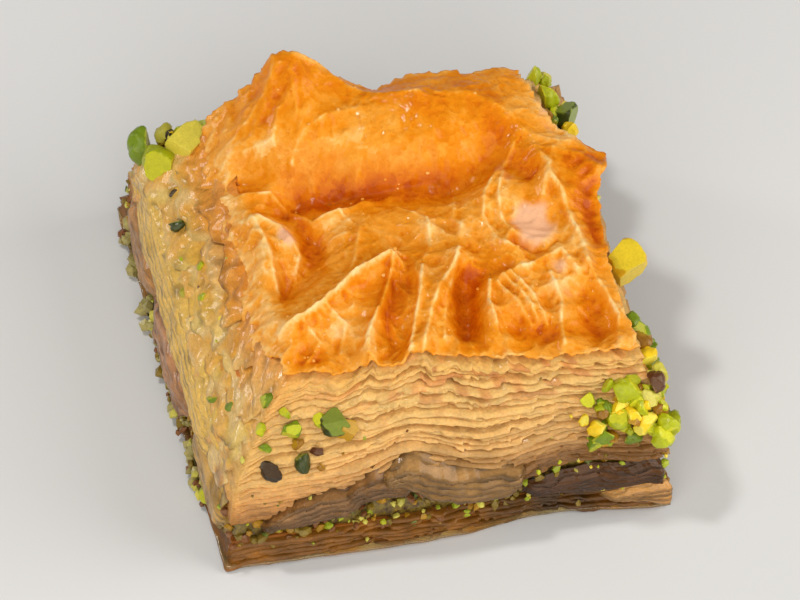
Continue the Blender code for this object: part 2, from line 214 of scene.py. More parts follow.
# Colours of the upper leaves from the filling up to the crust: the front, then the left side
LEAF_COLOURS = (
    ((124, 82, 40), (164, 116, 64), (214, 164, 98), (238, 188, 112), (255, 204, 122), (255, 194, 102)),
    ((168, 110, 52), (216, 156, 80), (250, 188, 92), (252, 184, 74), (240, 154, 50), (222, 122, 30)),
)
TOASTED_EDGE = (196, 100, 44)
# Painted shade: the dark brown of the leaves' inner parts and of the cores behind them, where the gaps
# between leaves lie in shade
PAINTED_GAP_SHADE = (164, 96, 34)
LOWER_LEAF = (132, 82, 24)
PALE_FLAKE = (255, 218, 146)
GREEN_STAIN = (232, 196, 70)
# Rows of thin flakes that lie on the sloping left side: upper and lower heights, and how far
# along the side they reach from its middle
FLAKE_ROWS = ((20.0, 16.6), (18.2, 14.9), (16.4, 13.2), (14.6, 11.2), (12.8, 9.2), (11.0, 7.8))
FLAKE_REACH = 0.98

# Broad soft sheets that hang down a side: the side, how far they stand out, their colour, and
# their upper and lower edges as places along the side and heights
HANGING_SHEETS = (
    ("front", 0.75, (116, 80, 42),
     ((-20.8, 6.3), (-17.5, 8.2), (-14.3, 9.7), (-11.0, 10.1), (-9.0, 11.7), (-8.2, 12.5), (-6.7, 11.2),
      (-3.4, 9.4)),
     ((-20.8, 5.7), (-15.0, 6.2), (-11.0, 6.8), (-8.6, 8.1), (-5.0, 8.7), (-3.4, 8.9))),
    ("front", 0.9, (132, 97, 54),
     ((-7.4, 11.0), (-5.5, 12.6), (-4.3, 13.2), (-3.1, 13.1), (-1.5, 12.4), (1.0, 10.9), (3.4, 10.4),
      (8.6, 9.5)),
     ((-7.4, 10.7), (-4.6, 9.8), (-2.1, 7.6), (0.8, 6.2), (4.0, 5.7), (6.4, 6.1), (8.6, 8.1))),
    # The third sheet's near-black brown is painted shade, where the front's lower right lies in shadow
    ("front", 0.35, (68, 36, 8),
     ((8.6, 6.0), (12.0, 7.4), (16.0, 7.9), (20.0, 7.5), (24.6, 7.1)),
     ((8.6, 4.9), (13.4, 4.3), (17.5, 4.2), (21.1, 4.3), (24.6, 3.7))),
    ("front", 0.5, (176, 126, 68),
     ((18.0, 2.9), (21.0, 4.0), (24.9, 4.6)),
     ((18.0, 2.5), (21.5, 1.6), (24.9, 0.6))),
    ("left", 0.7, (238, 190, 92),
     ((25.0, 12.8), (18.0, 14.0), (10.0, 13.0), (2.0, 13.8), (-6.0, 12.4), (-12.0, 13.0), (-21.0, 12.0)),
     ((25.0, 8.0), (16.0, 7.4), (8.0, 8.2), (0.0, 7.0), (-6.0, 7.8), (-12.0, 6.6), (-21.0, 7.0))),
    ("left", 1.0, (178, 126, 84),
     ((9.4, 5.6), (6.0, 7.8), (0.0, 8.8), (-5.5, 7.4), (-8.4, 5.2)),
     ((9.4, 5.3), (5.0, 3.0), (0.0, 2.0), (-5.0, 2.6), (-8.4, 4.9))),
    ("left", 0.7, (176, 124, 68),
     ((24.0, 6.2), (20.0, 8.6), (14.0, 8.4), (8.4, 6.2)),
     ((24.0, 5.9), (19.0, 3.4), (14.0, 2.6), (8.4, 5.9))),
    ("left", 0.6, (190, 146, 74),
     ((-8.0, 5.8), (-13.0, 7.8), (-20.0, 7.6), (-24.5, 5.6)),
     ((-8.0, 5.5), (-13.0, 3.2), (-20.0, 2.0), (-24.5, 5.3))),
)

# Chopped pistachios that stand out: place on the unit outline, height, how far the middle
# stands off the side, half sizes, kind
LARGE_NUTS = (
    ((-1.0, 0.98), 13.8, 1.1, (1.8, 1.7, 2.3), "green"),
    ((-1.0, 0.84), 15.0, 0.8, (2.5, 2.0, 2.1), "lime"),
    ((-0.93, 0.9), 17.0, 1.2, (3.0, 2.4, 2.5), "yellow"),
    ((-0.97, 1.0), 15.6, 0.3, (1.0, 0.9, 1.2), "skin"),
    ((-0.86, 1.0), 18.0, 0.3, (1.3, 1.1, 1.2), "lime"),
    ((-0.6, -1.0), 16.9, 0.7, (1.7, 1.4, 2.0), "dark"),
    ((-0.54, -1.0), 15.9, 0.3, (1.4, 1.1, 1.7), "amber"),
    ((-0.84, -1.0), 13.4, 0.3, (1.4, 1.0, 0.9), "skin"),
    ((-0.82, -1.0), 16.2, 0.2, (1.3, 1.0, 1.0), "green"),
    ((-0.7, -1.0), 13.8, 0.2, (1.3, 0.9, 0.9), "dark"),
    ((-0.7, -1.0), 17.0, 0.3, (0.8, 0.7, 0.9), "lime"),
    ((-0.76, -1.0), 15.2, 0.1, (0.8, 0.7, 0.7), "amber"),
    ((-0.64, -1.0), 14.5, 0.1, (0.9, 0.7, 0.6), "brown"),
    ((-0.92, -1.0), 15.0, 0.1, (0.7, 0.6, 0.6), "green"),
    ((-0.9, -1.0), 17.6, 0.1, (0.8, 0.7, 0.7), "lime"),
    ((-0.6, -1.0), 13.2, 0.1, (0.5, 0.5, 0.5), "amber"),
    ((1.0, -0.2), 16.8, 2.0, (2.7, 2.7, 2.5), "gold"),
    ((1.0, 0.86), 17.6, 1.2, (1.5, 1.4, 1.6), "lime"),
    ((1.0, 0.72), 16.0, 1.4, (2.0, 1.6, 2.2), "dark"),
    ((1.0, 0.8), 15.0, 0.9, (1.2, 1.1, 1.2), "yellow"),
    ((0.84, 1.0), 18.4, 0.4, (1.4, 1.2, 1.3), "lime"),
    ((1.0, -0.74), 18.0, 0.9, (1.8, 1.4, 1.5), "green"),
    ((1.0, -0.9), 16.6, 1.3, (1.3, 1.1, 2.2), "pale"),
    ((0.84, -1.0), 17.0, 0.8, (1.9, 1.3, 1.6), "lime"),
    ((0.78, -1.0), 14.2, 0.6, (1.5, 1.2, 1.4), "lime"),
    ((0.9, -1.0), 13.4, 0.8, (1.7, 1.2, 1.4), "yellow"),
    ((1.0, -0.98), 12.6, 0.7, (1.5, 1.4, 1.4), "lime"),
)
# Bits sunk in the left side: place along it, height, half size, kind
SIDE_BITS = (
    (-16.7, 2.2, 1.2, "lime"),
    (12.4, 14.3, 1.2, "dark"),
    (1.0, 14.6, 0.9, "lime"),
    (3.7, 12.8, 0.8, "pale"),
    (-12.2, 12.7, 0.9, "green"),
    (-14.6, 14.2, 0.8, "green"),
    (4.9, 15.4, 0.8, "lime"),
    (-17.4, 18.0, 1.0, "green"),
    (-20.0, 16.6, 0.8, "lime"),
    (8.0, 13.6, 0.7, "lime"),
    (16.6, 14.8, 0.7, "skin"),
    (15.7, 11.8, 0.5, "skin"),
    (-3.2, 9.9, 0.7, "skin"),
    (-22.0, 6.0, 0.9, "green"),
)
# Wet lumps of filling that have come out at the foot of the left side, as places along it, and
# how many crumbs each has
FOOT_CLUMPS = (22.3, 17.9, 11.2, 7.0, 3.3, 0.1, -5.5, -10.2, -14.0)
CLUMP_CRUMBS = 16
# Clusters of smaller nuts: middle on the unit outline, spread, lowest and highest, how many
NUT_CLUSTERS = (
    ((0.85, -1.0), 0.17, (11.4, 18.0), 46),
    ((1.0, -0.84), 0.16, (11.4, 18.8), 30),
    ((1.0, 0.6), 0.4, (15.0, 19.0), 24),
    ((-0.94, 1.0), 0.1, (14.0, 18.6), 11),
)

# Fresh colours of the nuts, as red, green and blue from 0 to 255: cut face, then skin
NUT_COLOURS = {
    "green": ((194, 196, 44), (116, 140, 14)),
    "lime": ((212, 208, 34), (176, 182, 14)),
    "yellow": ((255, 234, 84), (255, 212, 28)),
    "gold": ((255, 220, 44), (255, 194, 16)),
    "dark": ((132, 146, 50), (46, 60, 16)),
    "skin": ((66, 44, 34), (34, 18, 16)),
    "amber": ((190, 142, 28), (158, 104, 10)),
    "pale": ((226, 212, 104), (196, 184, 60)),
    "brown": ((154, 96, 50), (98, 48, 26)),
    "olive": ((156, 126, 40), (108, 82, 18)),
    "grey": ((190, 172, 108), (156, 144, 78)),
}
# A chopped nut is cut flat at random. One that is diced is cut square on these six sides
CHOPPED_CUTS = 3
DICED_KINDS = ("yellow", "gold")
DICED_SIDES = ((1, 0, 0), (-1, 0, 0), (0, 1, 0), (0, -1, 0), (0, 0, 1), (0, 0, -1))
CLUSTER_KINDS = "lime lime green yellow yellow lime pale lime green amber brown".split()
CRUMB_KINDS = "olive amber olive brown pale brown olive green amber dark".split()
CLUMP_KINDS = "grey grey pale olive grey brown".split()
# How diced nuts are turned, the lowest height of any nut, and the angle of a nut's sharp edges
DICED_TURN = (0.7, (0.4, 0.3, 1.0))
NUT_FLOOR = 0.02
SHARP_ANGLE = 32
# Beads of syrup lie between these places, both ways, clear of the crust's rim
BEAD_LIMITS = (-16, 20)

# The stage: lights as name, place, size and power; the camera's place and what it looks at
LIGHTS = (
    ("Key", (-0.13, 0.05, 0.37), 0.05, 0.43),
    ("Fill", (-0.15, -0.5, 0.28), 0.7, 2.7),
    ("Side", (0.38, -0.14, 0.24), 0.4, 1.5),
    ("Rim", (-0.4, 0.26, 0.18), 0.12, 0.38),
)
SKY_COLOUR = (1.0, 0.95, 0.88, 1.0)
SKY_STRENGTH = 0.18
CAMERA_PLACE = (-112.63, -518.48, 668.2)
CAMERA_TARGET = (0.0, -1.0, 11.0)
SENSOR_WIDTH = 36
FLOOR_REACH = 1.5
FLOOR_DROP = 0.0003


def linear(colour):
    """A colour of 0 to 255 as the linear value that a shader takes."""
    return np.array([c / 255 / 12.92 if c < 10.3 else ((c / 255 + 0.055) / 1.055) ** 2.4 for c in colour])


# Outline of the piece


def corners_at(z):
    """The outline's four corners at each height: steep up to the shoulder, then sloping in."""
    base, shoulder, crust = (np.array(c) for c in (BASE_CORNERS, SHOULDER_CORNERS, CRUST_CORNERS))
    z = np.asarray(z, dtype=float)[:, None, None]
    steep = base + (shoulder - base) * np.clip(z / SHOULDER_HEIGHT, 0, 1)
    rise = (z - SHOULDER_HEIGHT) / (CRUST_HEIGHT - SHOULDER_HEIGHT)
    sloping = shoulder + (crust - shoulder) * np.clip(rise, 0, 1)
    return np.where(z <= SHOULDER_HEIGHT, steep, sloping)


def plan(u, v, z):
    """Points of the unit square (u, v from -1 to 1) laid on the piece's outline at heights z."""
    front_left, front_right, back_right, back_left = np.moveaxis(corners_at(z), 1, 0)
    across, along = ((u + 1) / 2)[:, None], ((v + 1) / 2)[:, None]
    front = front_left + (front_right - front_left) * across
    back = back_left + (back_right - back_left) * across
    return front + (back - front) * along


def outward(u, v, z):
    """The level directions that point out of the side at places on the unit outline."""
    away = plan(u, v, z) - plan(u * 0.9, v * 0.9, z)
    return away / np.maximum(np.linalg.norm(away, axis=1), 1e-9)[:, None]


def far_out(u, v):
    """How far out places lie in the unit square: nought in its middle and 1 on its outline."""
    return np.maximum(np.abs(u), np.abs(v))


def on_outline(u, v):
    """Places moved straight out from the middle of the unit square to its outline."""
    far = far_out(u, v)
    return u / far, v / far


def falloff(distance, width):
    return np.exp(-((distance / width) ** 2))


def smoothstep(value, low, high):
    share = np.clip((value - low) / (high - low), 0, 1)
    return share * share * (3 - 2 * share)


def wander(points, size, seed):
    """Smooth noise from -1 to 1 at each point, with bumps about size across."""
    shift = Vector((seed * 7.31, seed * 3.17, seed * 5.59))
    return np.array([noise.noise(Vector(p) / size + shift) for p in points])


def waves(points, seed, *rows):
    """A sum of smooth noise. Each row is its height, its size, and what it adds to the seed."""
    return sum(height * wander(points, size, seed + more) for height, size, more in rows)


def crumple(points, size, seed):
    """Noise with sharp crests, as thin sheet makes when it is pushed together: from -1 to 1."""
    return 1 - 4 * np.abs(wander(points, size, seed))


def soaked(u, v):
    """How soft syrup has made the leaves: 1 along the left side, less at the front's left end."""
    front_left = 0.5 * falloff(v + 1, 0.3) * falloff(u + 1, 0.45)
    return np.maximum(smoothstep(-u, 0.86, 1.0), front_left)


def stops(shares, colours):
    """Colours along an even row of stops, at shares from 0 to 1."""
    row = np.array([linear(colour) for colour in colours])
    places = np.linspace(0, 1, len(row))
    return np.column_stack([np.interp(shares, places, row[:, k]) for k in range(3)])


def blend_colours(a, b, share):
    return a + (b - a) * np.asarray(share)[..., None]


def blurred(grid, steps):
    """A square of values, smoothed with its neighbours several times."""
    for _ in range(steps):
        wide = np.pad(grid, 1, mode="edge")
        beside = wide[:-2, 1:-1] + wide[2:, 1:-1] + wide[1:-1, :-2] + wide[1:-1, 2:]
        grid = (beside + grid) / 5
    return grid


def in_plane(xy, z=0.0):
    return np.column_stack((xy, np.full(len(xy), z)))


def distance_to(line, xy):
    """Distance of each point to a line through several places, below nought on its right."""
    nearest, side = np.full(len(xy), np.inf), np.ones(len(xy))
    for start, end in zip(line, line[1:]):
        a, run = np.array(start), np.subtract(end, start)
        share = np.clip((xy - a) @ run / (run @ run), 0, 1)
        gap = xy - a - share[:, None] * run
        length = np.hypot(gap[:, 0], gap[:, 1])
        nearer = length < nearest
        nearest = np.where(nearer, length, nearest)
        side = np.where(nearer, np.sign(run[0] * gap[:, 1] - run[1] * gap[:, 0]), side)
    return nearest * side


def crest(distance, width, lean):
    """A sharp fold: 1 on its line, fading out over width, further on the side that it leans to."""
    share = distance / np.where(distance > 0, width * lean, width / lean)
    return np.exp(CREASE_ROUNDNESS - np.sqrt(share**2 + CREASE_ROUNDNESS**2))


def patches(xy, places):
    total = np.zeros(len(xy))
    for (x, y), (half_x, half_y), amount in places:
        total += amount * falloff(np.hypot((xy[:, 0] - x) / half_x, (xy[:, 1] - y) / half_y), 1)
    return total


def crease_lines(xy, width):
    """1 on the thin line along the top of each fold, and nought a little away from it."""
    lines = [falloff(distance_to(line, xy), width) for rise, _, _, line in CREASES if rise > 0]
    return np.max(lines, axis=0)


def crust_relief(xy):
    """Height of the crust's upper face, and how deep each point lies in a hollow."""
    height = CRUST_HEIGHT + patches(xy, BUBBLES)
    dips = np.zeros(len(xy))
    for depth, width, line in HOLLOWS:
        part = falloff(distance_to(line, xy), width)
        height -= depth * part
        dips += part * min(1.0, depth / 2.4)
    for rise, width, lean, line in CREASES:
        height += rise * crest(distance_to(line, xy), width, lean)
    edge, gap, slope = LEFT_DRAPE
    past = -xy[:, 0] - edge
    side = CRUST_HEIGHT + gap - slope * past
    height += (np.minimum(side, height) - height) * smoothstep(past, -1.0, 2.5)
    dome = np.clip(patches(xy, BUBBLES[:1]) / 3.0, 0, 1)
    dips = np.clip(dips, 0, 1)
    smooth = (1 - 0.65 * dome) * (1 - 0.5 * dips)
    places = in_plane(xy)
    swirl = in_plane(xy + 1.2 * np.column_stack((wander(places, 5.0, 3), wander(places, 5.0, 4))))
    height += smooth * sum(rise * crumple(swirl, size, seed) for rise, size, seed in CRUMPLES)
    height += FINE_RELIEF * (crumple(swirl, 0.9, 6) + wander(places, 1.2, 5))
    return height, dips


def crust_edge(u, v):
    """How far the crust's edge reaches past the outline."""
    places = np.column_stack((u * 4, v * 4, np.full(len(u), 7.0)))
    reach = 0.5 * wander(places, 1.0, 0)
    for (tab_u, tab_v), width, tab_reach in EDGE_TABS:
        reach += tab_reach * falloff(np.hypot(u - tab_u, v - tab_v), width)
    return reach


def crust_place(u, v):
    """Where the crust's sheet lies over the unit square, and its hollows."""
    level = np.full(len(u), CRUST_HEIGHT)
    far = far_out(u, v)
    xy = plan(u, v, level) + outward(u, v, level) * (crust_edge(u, v) * far**3)[:, None]
    height, dips = crust_relief(xy)
    return np.column_stack((xy, height)), dips


def buckle(u, v):
    """How far the leaves rise off the filling. They buckle at the front only."""
    x = plan(u, v, np.full(len(u), FILLING_TOP))[:, 0]
    risen = sum(rise * falloff(x - centre, half) for centre, half, rise in FRONT_BUCKLES)
    return falloff(v + 1, 0.25) * risen


def tuck(u, v, z):
    """How far the side is pushed in near the base, at the front only."""
    centre, half, depth = FRONT_TUCK
    low = np.clip(1 - z / FILLING_TOP, 0, 1)
    return depth * low * falloff(v + 1, 0.3) * falloff(plan(u, v, z)[:, 0] - centre, half)


def on_side(u, v, z, out):
    """Points on the piece's side at heights z, moved out of it by out."""
    slump = 0.8 * falloff(z - SHOULDER_HEIGHT, 2.6) * smoothstep(-u, 0.8, 1.0)
    xy = plan(u, v, z) + outward(u, v, z) * (out - tuck(u, v, z) - slump)[:, None]
    return np.column_stack((xy, z))


# Meshes


def positions(mesh):
    flat = np.empty(len(mesh.vertices) * 3)
    mesh.vertices.foreach_get("co", flat)
    return flat.reshape(-1, 3)


def set_positions(mesh, points):
    mesh.vertices.foreach_set("co", (np.asarray(points) * METRES).ravel())
    mesh.update()


def attribute(mesh, name, values):
    layer = mesh.attributes.new(name, "FLOAT", "POINT")
    layer.data.foreach_set("value", np.asarray(values, dtype=np.float32))


def colour_attribute(mesh, name, colours):
    """Stores linear colours. One that is too bright is darkened, so that its hue stays."""
    colours = np.maximum(colours, 0)
    colours = colours / np.maximum(colours.max(axis=1), 1)[:, None]
    layer = mesh.color_attributes.new(name, "FLOAT_COLOR", "POINT")
    rgba = np.column_stack((colours, np.ones(len(colours))))
    layer.data.foreach_set("color", rgba.astype(np.float32).ravel())


def mesh_of(name, bm):
    mesh = bpy.data.meshes.new(name)
    bm.to_mesh(mesh)
    bm.free()
    return mesh


def add_piece(name, mesh, finish, slot, *nodes):
    """Links the mesh as a piece that rides on the body and stands for the named CAD nodes."""
    mesh.materials.append(finish_named(finish))
    piece = bpy.data.objects.new(name, mesh)
    bpy.context.scene.collection.objects.link(piece)
    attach(piece, "root")
    if nodes:
        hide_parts(*nodes)
    return piece


def thicken(piece, thickness):
    solidify = piece.modifiers.new("Sheet thickness", "SOLIDIFY")
    solidify.thickness = thickness * METRES


def unit_sheet(name, cells_along, cells_across):
    """A grid from -1 to 1 both ways, as a smooth mesh."""
    bm = bmesh.new()
    bmesh.ops.create_grid(bm, x_segments=cells_along, y_segments=cells_across, size=1.0)
    mesh = mesh_of(name, bm)
    mesh.shade_smooth()
    return mesh


def strip_around(bm, around, across):
    """A grid to be bent round the piece: x is an angle and y runs from 0 at one edge to 1."""
    made = bmesh.ops.create_grid(bm, x_segments=around, y_segments=across, size=1.0)["verts"]
    for vert in made:
        vert.co = Vector((math.pi * vert.co.x, (vert.co.y + 1) / 2, 0))


def joined_seams(mesh):
    """Closes the seams of a mesh whose strips have been bent round, and turns its faces outwards."""
    bm = bmesh.new()
    bm.from_mesh(mesh)
    bmesh.ops.remove_doubles(bm, verts=bm.verts, dist=1e-7)
    bmesh.ops.recalc_face_normals(bm, faces=bm.faces)
    bm.to_mesh(mesh)
    bm.free()
    mesh.shade_smooth()
    return mesh


# Materials


class Finish:
    """A material that is being made, with short ways to add the nodes that it needs."""

    def __init__(self, name):
        self.material = bpy.data.materials.new(name)
        self.material.use_nodes = True
        self.tree = self.material.node_tree
        self.shader = self.tree.nodes["Principled BSDF"]

    def fill(self, node, inputs):
        """Gives the node's inputs, by name or number, a value or a link."""
        for name, value in inputs.items():
            if isinstance(value, bpy.types.NodeSocket):
                self.tree.links.new(value, node.inputs[name])
            else:
                node.inputs[name].default_value = value

    def add(self, kind, inputs, **settings):
        node = self.tree.nodes.new("ShaderNode" + kind)
        for name, value in settings.items():
            setattr(node, name, value)
        self.fill(node, inputs)
        return node

    def surface(self, inputs):
        self.fill(self.shader, inputs)

    def place(self):
        return self.add("TexCoord", {}).outputs["Object"]

    def noise(self, size, detail, roughness, stretch=(1, 1, 1)):
        """Noise with bumps about size millimetres across, on the object's own coordinates."""
        mapped = self.add("Mapping", {"Vector": self.place(), "Scale": stretch}).outputs["Vector"]
        inputs = {"Vector": mapped, "Scale": 1 / (size * METRES), "Detail": detail, "Roughness": roughness}
        return self.add("TexNoise", inputs).outputs["Fac"]

    def maths(self, operation, a, b=0.0):
        return self.add("Math", {0: a, 1: b}, operation=operation).outputs[0]

    def ramp(self, factor, shades):
        """Colours of 0 to 255 at shares from 0 to 1."""
        node = self.add("ValToRGB", {"Fac": factor})
        elements = node.color_ramp.elements
        while len(elements) < len(shades):
            elements.new(0.5)
        for element, (share, colour) in zip(elements, shades):
            element.position = share
            element.color = (*linear(colour), 1.0)
        return node.outputs["Color"]

    def mix(self, factor, a, b, blend="MIX"):
        """Two colours mixed. Each one is a link, or a colour of 0 to 255."""
        a, b = ((*linear(colour), 1.0) if isinstance(colour, tuple) else colour for colour in (a, b))
        return self.add("Mix", {0: factor, 6: a, 7: b}, data_type="RGBA", blend_type=blend).outputs[2]

    def read(self, name, output="Fac"):
        return self.add("Attribute", {}, attribute_name=name).outputs[output]

    def bump(self, height, strength, depth):
        inputs = {"Strength": strength, "Distance": depth * METRES, "Height": height}
        self.surface({"Normal": self.add("Bump", inputs).outputs["Normal"]})

    def soft_light(self, weight, depth, radius):
        """Light that sinks in: weight, depth in millimetres, and how far each colour goes."""
        names = "Subsurface Weight", "Subsurface Scale", "Subsurface Radius"
        self.surface(dict(zip(names, (weight, depth * METRES, radius))))

    def syrup_coat(self, weight, roughness):
        self.surface({"Coat Weight": weight, "Coat Roughness": roughness, "Coat IOR": 1.34})

    def varied(self, colour, size, low, high, stretch=(1, 1, 1)):
        """The colour, made lighter and darker in patches about size across."""
        patch = self.noise(size, 4.0, 0.6, stretch)
        shade = self.ramp(patch, ((0.3, (low,) * 3), (0.7, (high,) * 3)))
        return self.mix(1.0, colour, shade, "MULTIPLY")

    def flake_tone(self, size):
        """A tone from 0 to 1 for each of many crisp patches, where thin sheets overlap."""
        place = self.place()
        bends = self.add("TexNoise", {"Vector": place, "Scale": 0.8 / (size * METRES), "Detail": 4.0})
        inputs = {0: bends.outputs["Color"], "Scale": 1.3 * size * METRES}
        shift = self.add("VectorMath", inputs, operation="SCALE").outputs["Vector"]
        moved = self.add("VectorMath", {0: place, 1: shift}).outputs["Vector"]
        return self.add("TexVoronoi", {"Vector": moved, "Scale": 1 / (size * METRES)}).outputs["Color"]


def glazed_filo(finish):
    """Baked filo under syrup: pale gold on its folds, partly a painted highlight, and deep orange where the
    syrup has pooled, partly painted shade.
    """
    mottle = finish.maths("SUBTRACT", finish.noise(2.4, 5.0, 0.6), 0.5)
    fine = finish.maths("SUBTRACT", finish.noise(0.5, 3.0, 0.6), 0.5)
    uneven_sheet = finish.maths("SUBTRACT", finish.noise(2.0, 4.0, 0.6), 0.5)
    wrinkle = finish.maths("ABSOLUTE", uneven_sheet)
    toast_and_painted_light = finish.maths("SUBTRACT", finish.read("toast_and_painted_light"), 0.2)
    tones = (
        (0.45, mottle),
        (0.2, fine),
        (1.0, finish.maths("MINIMUM", wrinkle, 0.08)),
        (0.2, finish.flake_tone(3.6)),
        (0.16, finish.flake_tone(1.5)),
    )
    for weight, tone in tones:
        toast_and_painted_light = finish.maths("ADD", toast_and_painted_light, finish.maths("MULTIPLY", tone, weight))
    shades = (
        (0.0, (252, 214, 146)),
        (0.18, (248, 190, 106)),
        (0.36, (240, 158, 52)),
        (0.56, (228, 134, 12)),
        (0.78, (212, 108, 2)),
        (1.0, (182, 74, 0)),
    )
    # Pinkish white over the pale patches: partly the sheet's own colour and partly a painted highlight
    colour = finish.mix(finish.read("pale_and_glint"), finish.ramp(toast_and_painted_light, shades), (240, 182, 138))
    finish.surface({"Base Color": colour, "Roughness": 0.42})
    finish.surface({"Specular IOR Level": 0.22, "Specular Tint": (1.0, 0.6, 0.2, 1.0)})
    finish.syrup_coat(0.3, 0.08)
    ridges = finish.maths("MULTIPLY", finish.maths("MINIMUM", wrinkle, 0.1), -2.5)
    finish.bump(finish.maths("ADD", finish.noise(0.6, 4.0, 0.65), ridges), 0.7, 0.2)


def leaf_filo(finish, roughness, coat, wrinkle, depth):
    """Thin leaves of filo. Their colour is worked out with their shape, as they are laid.

    wrinkle is the size of their wrinkles and depth is how deep these are, in millimetres.
    """
    colour = finish.varied(finish.read("leaf_colour", "Color"), 1.6, 226, 255)
    colour = finish.varied(colour, 0.35, 226, 255, (1, 1, 2))
    finish.surface({"Base Color": colour, "Roughness": roughness})
    finish.surface({"Specular IOR Level": 0.3, "Specular Tint": (1.0, 0.75, 0.45, 1.0)})
    finish.soft_light(0.12, 0.7, (1.0, 0.5, 0.2))
    finish.syrup_coat(coat, 0.14)
    finish.bump(finish.noise(wrinkle, 4.0, 0.65, (1, 1, 2.5)), 0.7, depth)


def nut_flesh(finish):
    """Pistachio: its colour comes from each nut, speckled, and wet with syrup."""
    colour = finish.varied(finish.read("nut_colour", "Color"), 0.9, 236, 255)
    colour = finish.varied(colour, 0.25, 236, 255)
    finish.surface({"Base Color": colour, "Roughness": 0.42, "Specular Tint": (1.0, 0.9, 0.5, 1.0)})
    finish.soft_light(0.15, 0.6, (0.9, 1.0, 0.3))
    finish.syrup_coat(0.35, 0.15)
    finish.bump(finish.noise(0.3, 3.0, 0.6), 0.6, 0.1)


def ground_nut(finish):
    """The filling between its larger crumbs: brown green and uneven."""
    grain = finish.noise(0.7, 5.0, 0.7)
    shades = (0.3, (52, 34, 10)), (0.45, (98, 72, 20)), (0.58, (128, 108, 32)), (0.72, (160, 126, 62))
    finish.surface({"Base Color": finish.ramp(grain, shades), "Roughness": 0.5})
    finish.syrup_coat(0.6, 0.18)
    finish.bump(grain, 0.8, 0.25)


def syrup(finish):
    """Clear amber syrup."""
    colour = finish.ramp(finish.noise(4.0, 2.0, 0.5), ((0.35, (250, 196, 110)), (0.65, (252, 224, 160))))
    finish.surface({"Base Color": colour, "Roughness": 0.04, "Transmission Weight": 0.85, "IOR": 1.42})
    finish.bump(finish.noise(1.5, 2.0, 0.5), 0.3, 0.1)


# What makes each material, with its values: for leaves the roughness, coat, wrinkle and depth
FINISHES = {
    "Glazed filo": (glazed_filo,),
    "Upper leaf filo": (leaf_filo, 0.4, 0.45, 0.6, 0.2),
    "Soaked leaf filo": (leaf_filo, 0.36, 0.4, 0.6, 0.18),
    "Wet flake filo": (leaf_filo, 0.36, 0.6, 1.0, 0.4),
    "Chopped pistachio": (nut_flesh,),
    "Ground pistachio": (ground_nut,),
    "Syrup": (syrup,),
}


def finish_named(name):
    """The material of this name, made the first time that a piece asks for it."""
    if name not in bpy.data.materials:
        make, *values = FINISHES[name]
        make(Finish(name), *values)
    return bpy.data.materials[name]


# Settings


def count_of(name, description, default):
    return bpy.props.IntProperty(name=name, description=description, default=default)


def length_of(name, description, default):
    return bpy.props.FloatProperty(name=name, description=description, default=default, unit="LENGTH")


class CrustSettings(bpy.types.PropertyGroup):
    cells: count_of("Grid cells", "Cells along one side of the crust", 216)
    thickness: length_of("Thickness", "Thickness of the top sheet in metres", 0.0003)


class LeafSettings(bpy.types.PropertyGroup):
    upper_leaves: count_of("Upper leaves", "Leaves above the filling", 36)
    lower_leaves: count_of("Lower leaves", "Leaves below the filling", 6)
    around: count_of("Steps around", "Steps of a leaf's edge", 640)
    depth: length_of("Leaf depth", "How far a leaf is modelled inwards, in metres", 0.003)
    thickness: length_of("Leaf thickness", "Thickness of an upper leaf in metres", 0.00017)


class NutSettings(bpy.types.PropertyGroup):
    filling_crumbs: count_of("Filling crumbs", "Crumbs in the filling", 900)
    side_crumbs: count_of("Side crumbs", "Fine crumbs on the sides", 320)
    beads: count_of("Syrup beads", "Small beads of syrup on the crust", 90)


class StageSettings(bpy.types.PropertyGroup):
    floor_colour: bpy.props.FloatVectorProperty(
        name="Floor", description="Colour of the floor", subtype="COLOR", default=(0.72, 0.71, 0.69)
    )
    lens: bpy.props.FloatProperty(name="Lens", description="Focal length in millimetres", default=340.0)


# Pieces


def crust_toast_and_painted_light(xy, dips, folded, bulging, far):
    """How dark the crust is: darker in hollows, partly the pooled syrup's colour and partly painted shade,
    and paler on folds, bulges and its rim, partly with a painted highlight along the folds.
    """
    spots = in_plane(xy)
    # Darker in hollows: partly the pooled syrup's colour and partly painted shade.
    toast_and_painted_light = BASE_TOAST + 0.06 * dips + 0.7 * patches(xy, TOAST_PATCHES) + 0.1 * wander(spots, 3.5, 23)
    fold_pale_and_sheen = 0.5 + 0.9 * wander(spots, 1.6, 25)
    # Paler on the fold tops, partly the thinner sheet's colour and partly a painted highlight, uneven in
    # patches; paler on broad rises and darker in broad low ground.
    toast_and_painted_light -= 0.26 * smoothstep(folded, 0.01, 0.13) * fold_pale_and_sheen + 0.2 * np.clip(bulging, -0.4, 0.7)
    # Painted shade: a darker line in the low ground beside each fold.
    toast_and_painted_light += 0.24 * smoothstep(-folded, 0.015, 0.12)
    # Painted highlight: a thin pale line along the top of each fold, partly the pale sheet there, broken up
    # in patches.
    painted_line_patchiness = np.clip(0.5 + 1.4 * wander(spots, 1.4, 26), 0, 1)
    toast_and_painted_light -= 0.17 * painted_line_patchiness * crease_lines(xy, 0.2)
    toast_and_painted_light -= 0.22 * smoothstep(-xy[:, 0], 14.0, 19.0)
    return np.clip(toast_and_painted_light * (1 - 0.35 * smoothstep(far, 0.95, 1.0)), 0.02, 0.9)


